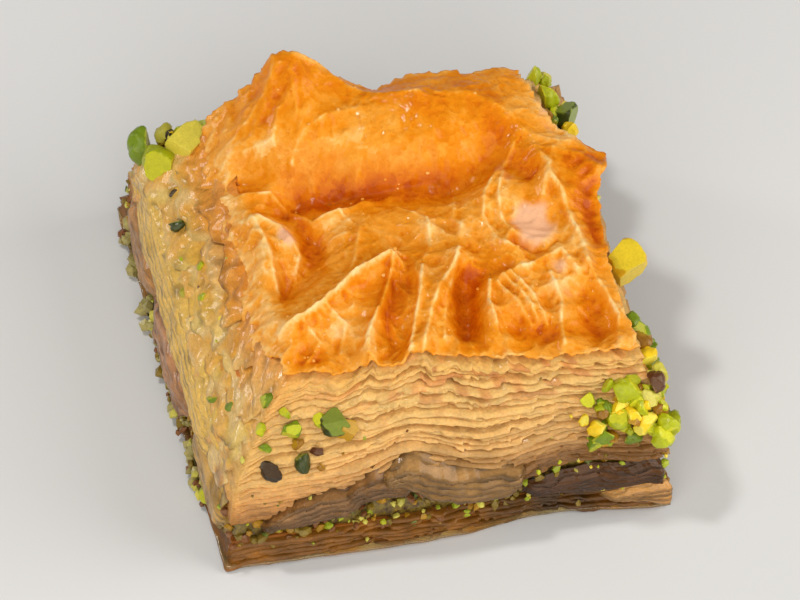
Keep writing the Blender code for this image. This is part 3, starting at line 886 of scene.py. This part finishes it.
class BAKLAVA_OT_crust(bpy.types.Operator):
    """Adds the glazed top sheet with its bubbles, creases and hollows"""

    bl_idname = "baklava.crust"
    bl_label = "Add Crust"

    def execute(self, context):
        settings = context.scene.baklava_crust
        mesh = unit_sheet("Crust", settings.cells, settings.cells)
        u, v, _ = positions(mesh).T
        points, dips = crust_place(u, v)
        side = settings.cells + 1
        height = points[:, 2].reshape(side, side)
        folded = (height - blurred(height, 4)).ravel()
        bulging = (blurred(height, 6) - blurred(height, 90)).ravel()
        far = far_out(u, v)
        ragged = waves(points, 21, (1, 1.1, 0), (0.6, 0.45, 1)) * smoothstep(far, 0.9, 1.0)
        level = np.full(len(u), CRUST_HEIGHT)
        points[:, :2] += outward(u, v, level) * (RAGGED_RIM * ragged)[:, None]
        set_positions(mesh, points)
        xy = points[:, :2]
        attribute(mesh, "toast_and_painted_light", crust_toast_and_painted_light(xy, dips, folded, bulging, far))
        # Pinkish white patches, partly a painted highlight
        pale_and_glint_share = patches(xy, PALE_AND_GLINT_PATCHES) + 0.1 * crumple(in_plane(xy), 2.6, 24)
        attribute(mesh, "pale_and_glint", smoothstep(pale_and_glint_share, 0.36, 0.68))
        piece = add_piece("Crust", mesh, "Glazed filo", "glazed_filo", "upper_leaves")
        thicken(piece, settings.thickness / METRES)
        return {"FINISHED"}


def leaf_foot(u, v):
    """Height of the lowest upper leaf."""
    return FILLING_TOP + LEAF_LIFT + buckle(u, v)


def upper_level(u, v, share):
    """Height of an upper leaf's edge: share 0 lies on the filling and 1 under the crust.

    Leaves follow the crust's broad form, and its folds only where they lie close under it.
    """
    foot = FILLING_TOP + LEAF_LIFT
    edge, _ = crust_place(u, v)
    broad = CRUST_HEIGHT + patches(edge[:, :2], BUBBLES) - 1.2 * soaked(u, v)
    waved = buckle(u, v) * (1 - share) ** 1.7 + (edge[:, 2] - 0.6 - broad) * share**4
    return foot + (broad - foot) * share + waved


def leaf_tone(v, share, soft):
    """The leaves' colour by their place in the stack. The softer they are, the more of it comes
    from the left side's row, though less of it near the front."""
    front_colour, left_colour = (stops(share, row) for row in LEAF_COLOURS)
    return blend_colours(front_colour, left_colour, soft * (1 - 0.7 * falloff(v + 1, 0.25)))


def leaf_colour(u, v, around, inner, share, number, mark):
    """Colours of a leaf: toasted in places, with painted light at the front's left end and painted shade
    further in.
    """
    soft = soaked(u, v)
    colour = leaf_tone(v, np.full(len(v), share), soft)
    # Painted light: brighter at the front's left end, which lies in the crust's shade
    shade = 1 + 0.7 * falloff(v + 1, 0.3) * falloff(u + 1, 0.5)
    shade *= 1.2 + 0.35 * wander(around, 3.0, mark + 1.3) + 0.12 * math.sin(number * 2.4)
    toasted = smoothstep(wander(around, 2.4, mark + 1.5), 0.05, 0.3) * smoothstep(share, 0.45, 0.9)
    toasted *= 0.7 * (1 - soft) * (1 - inner)
    colour = blend_colours(colour * shade[:, None], linear(TOASTED_EDGE), toasted)
    # Painted shade: darker further into the stack, between the leaves
    return blend_colours(colour, linear(PAINTED_GAP_SHADE), smoothstep(inner, 0.2 + 0.15 * soft, 0.8))


def leaf_strips(name, leaves, settings, level, seed):
    """Several leaves as strips that run round the piece, with ragged, chipped and wavy edges.

    leaves is a list of (share of the stack, how far it stands out, droop).
    """
    bm = bmesh.new()
    for _ in leaves:
        strip_around(bm, settings.around, STRIP_ROWS)
    mesh = mesh_of(name, bm)
    flat = positions(mesh)
    size = len(flat) // len(leaves)
    points, colours = [], []
    for number, (share, outset, droop) in enumerate(leaves):
        angle, inner, _ = flat[number * size:(number + 1) * size].T
        u, v = on_outline(np.cos(angle), np.sin(angle))
        soft = soaked(u, v)
        mark = seed + number * 1.7
        around = np.column_stack((u * HALF_SIDE, v * HALF_SIDE, np.full(len(u), share * 20)))
        chips = smoothstep(wander(around, 3.2, mark + 0.6), 0.16, 0.22)
        chips += smoothstep(wander(around, 1.4, mark + 0.8), 0.25, 0.3)
        crisp = outset + 0.5 * wander(around, 3.4, mark + 0.9) - 0.32 * chips
        lumpy = waves(around, seed, (0.6, 5.0, 0), (0.4, 1.8, 0.5))
        edge = crisp * (1 - 0.75 * soft) + lumpy * (0.35 + 0.65 * soft)
        edge += 0.1 * wander(around, 0.6, mark + 1.1)
        lift = waves(around, mark, (0.16, 9.0, 0.2), (0.12, 3.5, 0), (0.05, 1.3, 0.3))
        hang = droop + (SOAKED_DROOP - droop) * soft
        z = level(u, v, share) + lift - hang * (1 - inner) ** 2
        place = on_side(u, v, z, edge - settings.depth / METRES * inner)
        if share > 0.6:
            below_crust = crust_relief(place[:, :2])[0] - 0.4 - 0.3 * (1 - share)
            place[:, 2] = np.minimum(place[:, 2], below_crust)
        place[:, 2] = np.maximum(place[:, 2], LEAF_FLOOR)
        points.append(place)
        colours.append(leaf_colour(u, v, around, inner, share, number, mark))
    set_positions(mesh, np.concatenate(points))
    colour_attribute(mesh, "leaf_colour", np.concatenate(colours))
    return joined_seams(mesh)


def flat_at(height):
    """A level foot or top of a body."""
    return lambda u, v: np.full(len(u), float(height))


def core_body(name, foot, top, inset, floor=None, around=200, levels=10):
    """A closed body a little inside the leaves. With a floor, its top is sunk to that height."""
    bm = bmesh.new()
    strip_around(bm, around, levels)
    bmesh.ops.remove_doubles(bm, verts=bm.verts, dist=1e-6)
    flat = np.array([vert.co for vert in bm.verts])
    u, v = on_outline(np.cos(flat[:, 0]), np.sin(flat[:, 0]))
    low, high = foot(u, v), top(u, v)
    wall, lip = np.clip(flat[:, 1] / 0.8, 0, 1), np.clip(flat[:, 1] / 0.2 - 4, 0, 1)
    z = low + (high - low) * wall
    if floor is not None:
        z += (floor - high) * lip
    for vert, point in zip(bm.verts, on_side(u, v, z, -inset - 2.5 * lip)):
        vert.co = point
    bmesh.ops.remove_doubles(bm, verts=bm.verts, dist=1e-3)
    bmesh.ops.holes_fill(bm, edges=[edge for edge in bm.edges if edge.is_boundary], sides=0)
    bmesh.ops.triangulate(bm, faces=[face for face in bm.faces if len(face.verts) > 4])
    bmesh.ops.recalc_face_normals(bm, faces=bm.faces)
    bmesh.ops.scale(bm, vec=(METRES,) * 3, verts=bm.verts)
    mesh = mesh_of(name, bm)
    # The whole core is given the painted gap shade, so the gaps between the leaves read dark
    colour_attribute(mesh, "leaf_colour", np.tile(linear(PAINTED_GAP_SHADE), (len(mesh.vertices), 1)))
    return mesh


def along_side(side, place, z):
    """The place on the unit outline of points given by how far along a side they lie."""
    front_left, front_right, _, back_left = np.moveaxis(corners_at(z), 1, 0)
    far, axis = (front_right, 0) if side == "front" else (back_left, 1)
    share = 2 * (place - front_left[:, axis]) / (far - front_left)[:, axis] - 1
    edge = np.full(len(share), -1.0)
    return (share, edge) if side == "front" else (edge, share)


def tapered(along, taper):
    """1 in the middle of a sheet, falling to nought at both ends of it."""
    return smoothstep(along, 0.0, taper) * smoothstep(1 - along, 0.0, taper)


def hanging_sheet(number, side, stand, colour, upper, lower):
    """A soft sheet whose face shows: it comes out of the stack, hangs, and turns in at its foot."""
    length = abs(upper[-1][0] - upper[0][0])
    mesh = unit_sheet("Sheet", round(length / 0.2), 54)
    along, fall = (positions(mesh)[:, :2].T + 1) / 2
    place = upper[0][0] + (upper[-1][0] - upper[0][0]) * along
    row = in_plane(np.column_stack((place, np.full(len(place), number * 40.0))))
    edges = []
    for line in (upper, lower):
        xs, zs = zip(*sorted(line))
        ripples = waves(row, 0, (0.35, 1.9, number + len(edges)), (0.15, 0.7, 9))
        edges.append(np.interp(place, xs, zs) + ripples)
    z = edges[0] + (edges[1] - edges[0]) * fall
    spot = np.column_stack((place, z * 2.2, np.full(len(z), number * 30.0)))
    # How many layers show, how far its ends taper, and how layered and how lumpy it is
    if side == "front":
        layers, taper, layered, lumpy = 5.0, 0.08, 0.5, 0.5
    else:
        layers, taper, layered, lumpy = 1.2 * (edges[0] - edges[1]).mean(), 0.25, 0.2, 1.0
    step = (layers * fall + 1.1 * wander(row, 5.0, number + 7) + 0.5 * wander(spot, 2.0, number + 8)) % 1
    lumps = lumpy * waves(spot, number, (0.4, 3.6, 0), (0.26, 1.2, 4))
    ends = tapered(along, taper)
    out = -0.5 + (stand + 0.5) * np.sin(np.clip(fall / 0.35, 0, 1) * math.pi / 2)
    out += (layered * step + lumps * stand) * smoothstep(fall, 0, 0.3) - 0.4 * smoothstep(fall, 0.85, 1)
    out -= 1.2 * (1 - ends)
    u, v = along_side(side, place, z)
    set_positions(mesh, on_side(u, v, z, out))
    # Painted light and shade: each layer lighter on its raised band and darker in a line near its lower
    # edge, lighter towards the top, and darker where the sheet comes out of the stack and where it turns in
    # at its foot
    shade = 1 + 0.7 * wander(spot, 2.4, number + 5) + 1.2 * layered * smoothstep(step, 0, 0.4)
    painted_line_patchiness = np.clip(0.5 + layered + 0.9 * wander(spot, 2.5, number + 9), 0, 1)
    shade -= (0.45 + 0.5 * layered) * painted_line_patchiness * smoothstep(step, 0.7, 0.88)
    shade *= 1 + layered * (0.5 - 1.0 * fall)
    shade *= 1 - 0.3 * smoothstep(fall, 0.85, 1) - 0.25 * (1 - smoothstep(fall, 0, 0.12))
    colour_attribute(mesh, "leaf_colour", shade[:, None] * linear(colour))
    return mesh


def side_flake(number, start, end, upper, lower):
    """A thin flake on the sloping left side, with a ragged lower edge, between places -1 to 1."""
    mesh = unit_sheet("Flake", round((end - start) * HALF_SIDE / 0.24), 15)
    along, fall = (positions(mesh)[:, :2].T + 1) / 2
    v = start + (end - start) * along
    row = in_plane(np.column_stack((v * HALF_SIDE, np.full(len(v), number * 13.0))))
    ends = tapered(along, 0.12)
    ragged = waves(row, number, (2.2, 5.0, 0), (0.5, 1.7, 0.5))
    z = upper + (lower - upper + ragged) * fall * (0.5 + 0.5 * ends)
    spot = np.column_stack((v * HALF_SIDE, z * 0.8, np.full(len(z), number * 30.0)))
    streaks = spot * (0.55, 1.5, 1)
    pleats = 0.22 * crumple(streaks, 1.6, number) + waves(spot, number, (0.6, 3.4, 1), (0.16, 0.9, 6))
    out = 0.2 + pleats + 0.2 * fall - 1.0 * (1 - smoothstep(fall, 0, 0.3)) - 0.7 * (1 - ends)
    set_positions(mesh, on_side(np.full(len(v), -1.0), v, z, out))
    share = (z - FILLING_TOP) / (CRUST_HEIGHT - FILLING_TOP)
    colour = leaf_tone(v, share, 1)
    pale = smoothstep(wander(streaks, 2.0, number + 4), -0.15, 0.3)
    pale *= 0.7 - 0.55 * smoothstep(z, 15.5, 18.5)
    colour = blend_colours(colour, linear(PALE_FLAKE), pale)
    green = smoothstep(wander(spot, 2.6, number + 5), 0.05, 0.35) * smoothstep(-z, -17.5, -14.0)
    colour = blend_colours(colour, linear(GREEN_STAIN), 0.4 * green)
    shade = 1.16 + 0.75 * wander(streaks, 1.0, number + 2) + 0.2 * wander(row, 6.0, number + 3)
    # Painted shade: darker along each flake's lower edge, towards the gap beneath it
    shade -= 0.35 * smoothstep(fall, 0.88, 1)
    colour_attribute(mesh, "leaf_colour", shade[:, None] * colour)
    return mesh


def side_flakes(draw):
    """Rows of flakes that overlap like tiles, in uneven lengths."""
    flakes = []
    for upper, lower in FLAKE_ROWS:
        start = -FLAKE_REACH
        while start < 0.8:
            end = min(FLAKE_REACH, start + draw.uniform(0.6, 1.3))
            heights = upper + draw.uniform(-0.4, 0.2), lower + draw.uniform(-0.6, 0.6)
            flakes.append(side_flake(len(flakes), start, end, *heights))
            start = end - draw.uniform(0.05, 0.15)
    return joined("Side_flakes", flakes)


def joined(name, meshes):
    """Several meshes as one."""
    bm = bmesh.new()
    for mesh in meshes:
        bm.from_mesh(mesh)
        bpy.data.meshes.remove(mesh)
    mesh = mesh_of(name, bm)
    mesh.shade_smooth()
    return mesh


class BAKLAVA_OT_upper_leaves(bpy.types.Operator):
    """Adds the stack of leaves over the filling, crisp at its top and soaked at its foot"""

    bl_idname = "baklava.upper_leaves"
    bl_label = "Add Upper Leaves"

    def execute(self, context):
        settings = context.scene.baklava_leaves
        draw = random.Random(3)
        last = settings.upper_leaves - 1
        stack = []
        for number in range(settings.upper_leaves):
            share = min(1.0, max(0.0, (number + draw.uniform(-0.35, 0.35)) / last))
            stack.append((share, draw.uniform(-0.25, 0.4), draw.choice((0.1, 0.15, 0.25, 0.4, 0.8))))
        third = len(stack) // 3
        parts = stack[:third], stack[third:2 * third], stack[2 * third:]
        for number, (name, leaves) in enumerate(zip(("Lower", "Middle", "Top"), parts)):
            name = f"Upper_leaves_{name}_third"
            mesh = leaf_strips(name, leaves, settings, upper_level, 30 + number * 17)
            piece = add_piece(name, mesh, "Upper leaf filo", "glazed_filo")
            thicken(piece, settings.thickness / METRES)

        def core_top(u, v):
            return upper_level(u, v, 1.0) - 1.8

        core = core_body("Upper_leaf_core", leaf_foot, core_top, 1.5, UPPER_CORE_FLOOR)
        add_piece("Upper_leaf_core", core, "Upper leaf filo", "glazed_filo")
        sheets = joined("Hanging_sheets", [hanging_sheet(n, *row) for n, row in enumerate(HANGING_SHEETS)])
        thicken(add_piece("Hanging_sheets", sheets, "Wet flake filo", "glazed_filo"), SHEET_THICKNESS)
        flakes = add_piece("Side_flakes", side_flakes(draw), "Wet flake filo", "glazed_filo")
        thicken(flakes, FLAKE_THICKNESS)
        return {"FINISHED"}


class BAKLAVA_OT_lower_leaves(bpy.types.Operator):
    """Adds the soaked leaves that the piece stands on"""

    bl_idname = "baklava.lower_leaves"
    bl_label = "Add Lower Leaves"

    def execute(self, context):
        settings = context.scene.baklava_leaves
        draw = random.Random(8)
        last = settings.lower_leaves - 1
        leaves = [(number / last, draw.uniform(0.0, 0.35), 0.12) for number in range(settings.lower_leaves)]

        def level(u, v, share):
            return 0.5 + (LOWER_LEAVES_TOP - 0.6) * share + np.zeros(len(u))

        mesh = leaf_strips("Lower_leaves", leaves, settings, level, 91)
        points = positions(mesh) / METRES
        # Painted shadow: darker at the front, around its right half
        front_right = falloff(points[:, 0] - 12.0, 8.0) * smoothstep(-points[:, 1], 20, 24)
        shade = (1 + waves(points, 93, (0.6, 2.0, 0), (0.3, 0.8, 1))) * (1.15 - 0.8 * front_right)
        colours = shade[:, None] * linear(LOWER_LEAF)
        mesh.color_attributes.remove(mesh.color_attributes["leaf_colour"])
        colour_attribute(mesh, "leaf_colour", colours)
        piece = add_piece("Lower_leaves", mesh, "Soaked leaf filo", "soaked_filo", "lower_leaves")
        thicken(piece, LOWER_LEAF_THICKNESS)
        core = core_body("Lower_leaf_core", flat_at(0), flat_at(LOWER_LEAVES_TOP - 0.1), 0.7)
        add_piece("Lower_leaf_core", core, "Soaked leaf filo", "soaked_filo")
        return {"FINISHED"}


def balls(count, detail):
    """Many balls of size 1 in one mesh. Each doubling copies all that are there."""
    bm = bmesh.new()
    bmesh.ops.create_icosphere(bm, subdivisions=detail, radius=1.0)
    size, made = (len(bm.verts), len(bm.edges), len(bm.faces)), 1
    while made < count:
        more = min(made, count - made)
        lists = (bm.verts, bm.edges, bm.faces)
        copied = [part for parts, one in zip(lists, size) for part in list(parts)[: more * one]]
        bmesh.ops.duplicate(bm, geom=copied)
        made += more
    return bm


def chopped(ball, rough, cuts, draw):
    """The ball made uneven and cut flat on some sides, and where it is cut."""
    shift = draw.uniform(0, 99)
    place = ball * (1 + rough * waves(ball, shift, (1, 0.75, 0), (0.5, 0.35, 1)))[:, None]
    cut = np.zeros(len(ball))
    diced = cuts == len(DICED_SIDES)
    for number in range(cuts):
        away = np.array([draw.gauss(0, 1) for _ in range(3)])
        if diced:
            away = 0.12 * away + DICED_SIDES[number]
        away /= np.linalg.norm(away)
        past = np.maximum(place @ away - draw.uniform(0.4, 0.75) - 0.12 * diced, 0)
        place = place - past[:, None] * away
        cut = np.maximum(cut, past > 0)
    return place, cut


def nut_piece(name, nuts, detail, rough, draw):
    """Pieces of nut as one piece. nuts is a list of (middle, half sizes, kind, number of cuts)."""
    mesh = mesh_of(name, balls(len(nuts), detail))
    ball = positions(mesh)[: len(mesh.vertices) // len(nuts)]
    points, colours = [], []
    for middle, half_sizes, kind, cuts in nuts:
        place, cut = chopped(ball, rough, cuts, draw)
        axis = [draw.gauss(0, 1) for _ in range(3)]
        angle = draw.uniform(0, math.tau)
        if cuts == len(DICED_SIDES):
            angle, axis = DICED_TURN
        turn = np.array(Matrix.Rotation(angle, 3, Vector(axis)))
        place = (place * half_sizes) @ turn.T + middle
        place[:, 2] = np.maximum(place[:, 2], NUT_FLOOR)
        points.append(place)
        cut_colour, skin_colour = (linear(colour) for colour in NUT_COLOURS[kind])
        light = draw.uniform(0.85, 1.15)
        colours.append(light * blend_colours(skin_colour, cut_colour, cut if cuts else cut + 0.5))
    set_positions(mesh, np.concatenate(points))
    colour_attribute(mesh, "nut_colour", np.concatenate(colours))
    if detail > 1:
        mesh.shade_smooth()
        mesh.set_sharp_from_angle(angle=math.radians(SHARP_ANGLE))
    return add_piece(name, mesh, "Chopped pistachio", "pistachio")


def side_seat(u, v, z, stand):
    """A place on the side of the piece, or as far out from it as stand."""
    return on_side(np.array([u]), np.array([v]), np.array([z]), np.array([stand]))[0]


def left_seat(y, z, stand):
    """The same on the left side, by how far along it the place lies."""
    u, v = along_side("left", np.array([y]), np.array([z]))
    return side_seat(u[0], v[0], z, stand)


def uneven(size, draw):
    return [size * draw.uniform(0.65, 1.1) for _ in range(3)]


class BAKLAVA_OT_filling(bpy.types.Operator):
    """Adds the layer of ground pistachio, with crumbs along its sides and out at its foot"""

    bl_idname = "baklava.filling"
    bl_label = "Add Filling"

    def execute(self, context):
        core = core_body("Filling", flat_at(LOWER_LEAVES_TOP - 0.1), leaf_foot, 1.0, None, 420)
        points = positions(core) / METRES
        lump = waves(points, 51, (0.45, 1.4, 0), (0.2, 0.6, 1))
        away = points[:, :2] / np.maximum(np.linalg.norm(points[:, :2], axis=1), 1)[:, None]
        points[:, :2] += away * lump[:, None]
        set_positions(core, points)
        core.shade_smooth()
        add_piece("Filling", core, "Ground pistachio", "pistachio", "pistachio_filling")
        draw = random.Random(12)
        count = context.scene.baklava_nuts.filling_crumbs
        nuts = []
        for number in range(count):
            angle = math.tau * (number + draw.uniform(-1, 1)) / count
            u, v = on_outline(math.cos(angle), math.sin(angle))
            ceiling = float(leaf_foot(np.array([u]), np.array([v]))[0])
            size = draw.triangular(0.28, 0.9, 0.4)
            stand = draw.uniform(-1.1, -0.1) if v == -1 else draw.uniform(-0.9, 0.1)
            middle = side_seat(u, v, draw.uniform(LOWER_LEAVES_TOP - 1.2, ceiling - 0.2), stand)
            nuts.append((middle, uneven(size, draw), draw.choice(CRUMB_KINDS), 0))
        for y in FOOT_CLUMPS:
            for _ in range(CLUMP_CRUMBS):
                z = draw.triangular(0.4, 3.2, 0.8)
                place = y + draw.gauss(0, 1.1)
                size = draw.uniform(0.35, 0.95)
                middle = left_seat(place, z, draw.uniform(-0.2, 1.3 - 0.25 * z))
                nuts.append((middle, uneven(size, draw), draw.choice(CLUMP_KINDS), 0))
        nut_piece("Filling_crumbs", nuts, 1, 0.5, draw)
        return {"FINISHED"}


class BAKLAVA_OT_nuts(bpy.types.Operator):
    """Adds the chopped pistachios and the fine crumbs that stick to the sides"""

    bl_idname = "baklava.nuts"
    bl_label = "Add Chopped Pistachios"

    def execute(self, context):
        draw = random.Random(4)
        nuts = []
        for (u, v), z, stand, size, kind in LARGE_NUTS:
            cuts = len(DICED_SIDES) if kind in DICED_KINDS else CHOPPED_CUTS
            nuts.append((side_seat(u, v, z, stand), size, kind, cuts))
        nut_piece("Large_nuts", nuts, 4, 0.2, draw)
        nuts = []
        for (u, v), spread, (lowest, highest), count in NUT_CLUSTERS:
            for _ in range(count):
                place = on_outline(u + draw.uniform(-spread, spread), v + draw.uniform(-spread, spread))
                size = draw.triangular(0.5, 1.6, 0.9)
                middle = side_seat(*place, draw.uniform(lowest, highest), size * draw.uniform(0.2, 1.0))
                nuts.append((middle, uneven(size, draw), draw.choice(CLUSTER_KINDS), CHOPPED_CUTS))
        for y, z, size, kind in SIDE_BITS:
            nuts.append((left_seat(y, z, -0.1), uneven(size, draw), kind, 2))
        nut_piece("Clustered_nuts", nuts, 3, 0.3, draw)
        nuts = []
        for _ in range(context.scene.baklava_nuts.side_crumbs):
            on_left = draw.gauss(math.pi, 0.75)
            anywhere = draw.uniform(0, math.tau)
            near_corner = draw.gauss(-0.75, 0.2)
            angle = draw.choice((on_left, anywhere, near_corner))
            u, v = on_outline(math.cos(angle), math.sin(angle))
            size = draw.uniform(0.15, 0.42)
            middle = side_seat(u, v, draw.triangular(0.6, 19.0, 5.0), size * 0.3)
            nuts.append((middle, uneven(size, draw), draw.choice(CRUMB_KINDS + CLUSTER_KINDS), 0))
        nut_piece("Side_crumbs", nuts, 1, 0.5, draw)
        return {"FINISHED"}


class BAKLAVA_OT_syrup(bpy.types.Operator):
    """Adds the syrup that has run out round the foot, and small beads on the crust"""

    bl_idname = "baklava.syrup"
    bl_label = "Add Syrup"

    def execute(self, context):
        bm = bmesh.new()
        strip_around(bm, 400, 8)
        mesh = mesh_of("Syrup_at_the_foot", bm)
        angle, rise, _ = positions(mesh).T
        u, v = on_outline(np.cos(angle), np.sin(angle))
        turn = math.tau * rise
        wide = 0.5 + 0.3 * wander(in_plane(HALF_SIDE * np.column_stack((u, v))), 3.0, 61)
        z = 0.25 + 0.24 * np.sin(turn)
        set_positions(mesh, on_side(u, v, z, wide * np.cos(turn) - 0.1))
        add_piece("Syrup_at_the_foot", joined_seams(mesh), "Syrup", "soaked_filo")
        draw = random.Random(6)
        count = context.scene.baklava_nuts.beads
        low, high = BEAD_LIMITS
        mesh = mesh_of("Syrup_beads", balls(count, 2))
        ball = positions(mesh)[: len(mesh.vertices) // count]
        points = []
        while len(points) < count:
            line = draw.choice(CREASES)[-1]
            start, end = draw.choice(list(zip(line, line[1:])))
            place = np.array(start) + (np.array(end) - start) * draw.random()
            place += (draw.gauss(0, 0.8), draw.gauss(0, 0.8))
            if place.min() <= low or place.max() >= high:
                continue
            size = draw.triangular(0.08, 0.26, 0.1)
            height = crust_relief(place[None, :])[0]
            points.append(ball * (size, size, 0.5 * size) + (*place, height[0]))
        set_positions(mesh, np.concatenate(points))
        mesh.shade_smooth()
        attribute(mesh, "toast_and_painted_light", np.full(len(mesh.vertices), 0.25))
        attribute(mesh, "pale_and_glint", np.zeros(len(mesh.vertices)))
        add_piece("Syrup_beads", mesh, "Glazed filo", "glazed_filo")
        return {"FINISHED"}


class BAKLAVA_OT_stage(bpy.types.Operator):
    """Adds the floor, the soft lights and the camera at the photograph's angle"""

    bl_idname = "baklava.stage"
    bl_label = "Add Stage"

    def execute(self, context):
        scene = context.scene
        settings = scene.baklava_stage
        bm = bmesh.new()
        bmesh.ops.create_grid(bm, x_segments=1, y_segments=1, size=FLOOR_REACH)
        bmesh.ops.translate(bm, vec=(0, 0, -FLOOR_DROP), verts=bm.verts)
        mesh = mesh_of("Floor", bm)
        finish = Finish("Floor")
        finish.surface({"Base Color": (*settings.floor_colour, 1.0), "Roughness": 0.6})
        mesh.materials.append(finish.material)
        floor = bpy.data.objects.new("Floor", mesh)
        scene.collection.objects.link(floor)
        for light in LIGHTS:
            add_light(*light)
        world = bpy.data.worlds.new("Studio")
        world.use_nodes = True
        background = world.node_tree.nodes["Background"]
        background.inputs["Color"].default_value = SKY_COLOUR
        background.inputs["Strength"].default_value = SKY_STRENGTH
        scene.world = world
        scene.view_settings.view_transform = "Standard"
        data = bpy.data.cameras.new("Camera")
        data.sensor_width = SENSOR_WIDTH
        data.lens = settings.lens
        data.clip_start = 0.01
        camera = bpy.data.objects.new("Camera", data)
        aim(camera, Vector(CAMERA_PLACE) * METRES, Vector(CAMERA_TARGET) * METRES)
        scene.camera = camera
        return {"FINISHED"}


def aim(thing, place, target):
    """Puts a light or the camera at a place, turned to the target."""
    thing.location = place
    thing.rotation_euler = (target - place).to_track_quat("-Z", "Y").to_euler()
    bpy.context.scene.collection.objects.link(thing)


def add_light(name, place, size, power):
    data = bpy.data.lights.new(name, "AREA")
    data.shape = "DISK"
    data.size = size
    data.energy = power
    aim(bpy.data.objects.new(name, data), Vector(place), Vector((0, 0, 0.01)))


class BAKLAVA_PT_sidebar(bpy.types.Panel):
    bl_idname = "BAKLAVA_PT_sidebar"
    bl_label = "Baklava Piece"
    bl_space_type = "VIEW_3D"
    bl_region_type = "UI"
    bl_category = "Baklava"

    def draw(self, context):
        for settings, operators in PANEL_ROWS:
            box = self.layout.box()
            group = getattr(context.scene, settings)
            for name in group.bl_rna.properties.keys():
                if name not in ("rna_type", "name"):
                    box.prop(group, name)
            for operator in operators:
                box.operator(operator)


PANEL_ROWS = (
    ("baklava_crust", ("baklava.crust",)),
    ("baklava_leaves", ("baklava.upper_leaves", "baklava.lower_leaves")),
    ("baklava_nuts", ("baklava.filling", "baklava.nuts", "baklava.syrup")),
    ("baklava_stage", ("baklava.stage",)),
)
SETTINGS = (
    ("baklava_crust", CrustSettings),
    ("baklava_leaves", LeafSettings),
    ("baklava_nuts", NutSettings),
    ("baklava_stage", StageSettings),
)
OPERATORS = (
    BAKLAVA_OT_crust,
    BAKLAVA_OT_upper_leaves,
    BAKLAVA_OT_lower_leaves,
    BAKLAVA_OT_filling,
    BAKLAVA_OT_nuts,
    BAKLAVA_OT_syrup,
    BAKLAVA_OT_stage,
)


def register():
    for name, group in SETTINGS:
        bpy.utils.register_class(group)
        setattr(bpy.types.Scene, name, bpy.props.PointerProperty(type=group))
    for operator in OPERATORS:
        bpy.utils.register_class(operator)
    bpy.utils.register_class(BAKLAVA_PT_sidebar)


def unregister():
    bpy.utils.unregister_class(BAKLAVA_PT_sidebar)
    for operator in reversed(OPERATORS):
        bpy.utils.unregister_class(operator)
    for name, group in reversed(SETTINGS):
        delattr(bpy.types.Scene, name)
        bpy.utils.unregister_class(group)


def main():
    register()
    bpy.ops.baklava.crust()
    bpy.ops.baklava.upper_leaves()
    bpy.ops.baklava.lower_leaves()
    bpy.ops.baklava.filling()
    bpy.ops.baklava.nuts()
    bpy.ops.baklava.syrup()
    bpy.ops.baklava.stage()


if __name__ == "__main__":
    main()
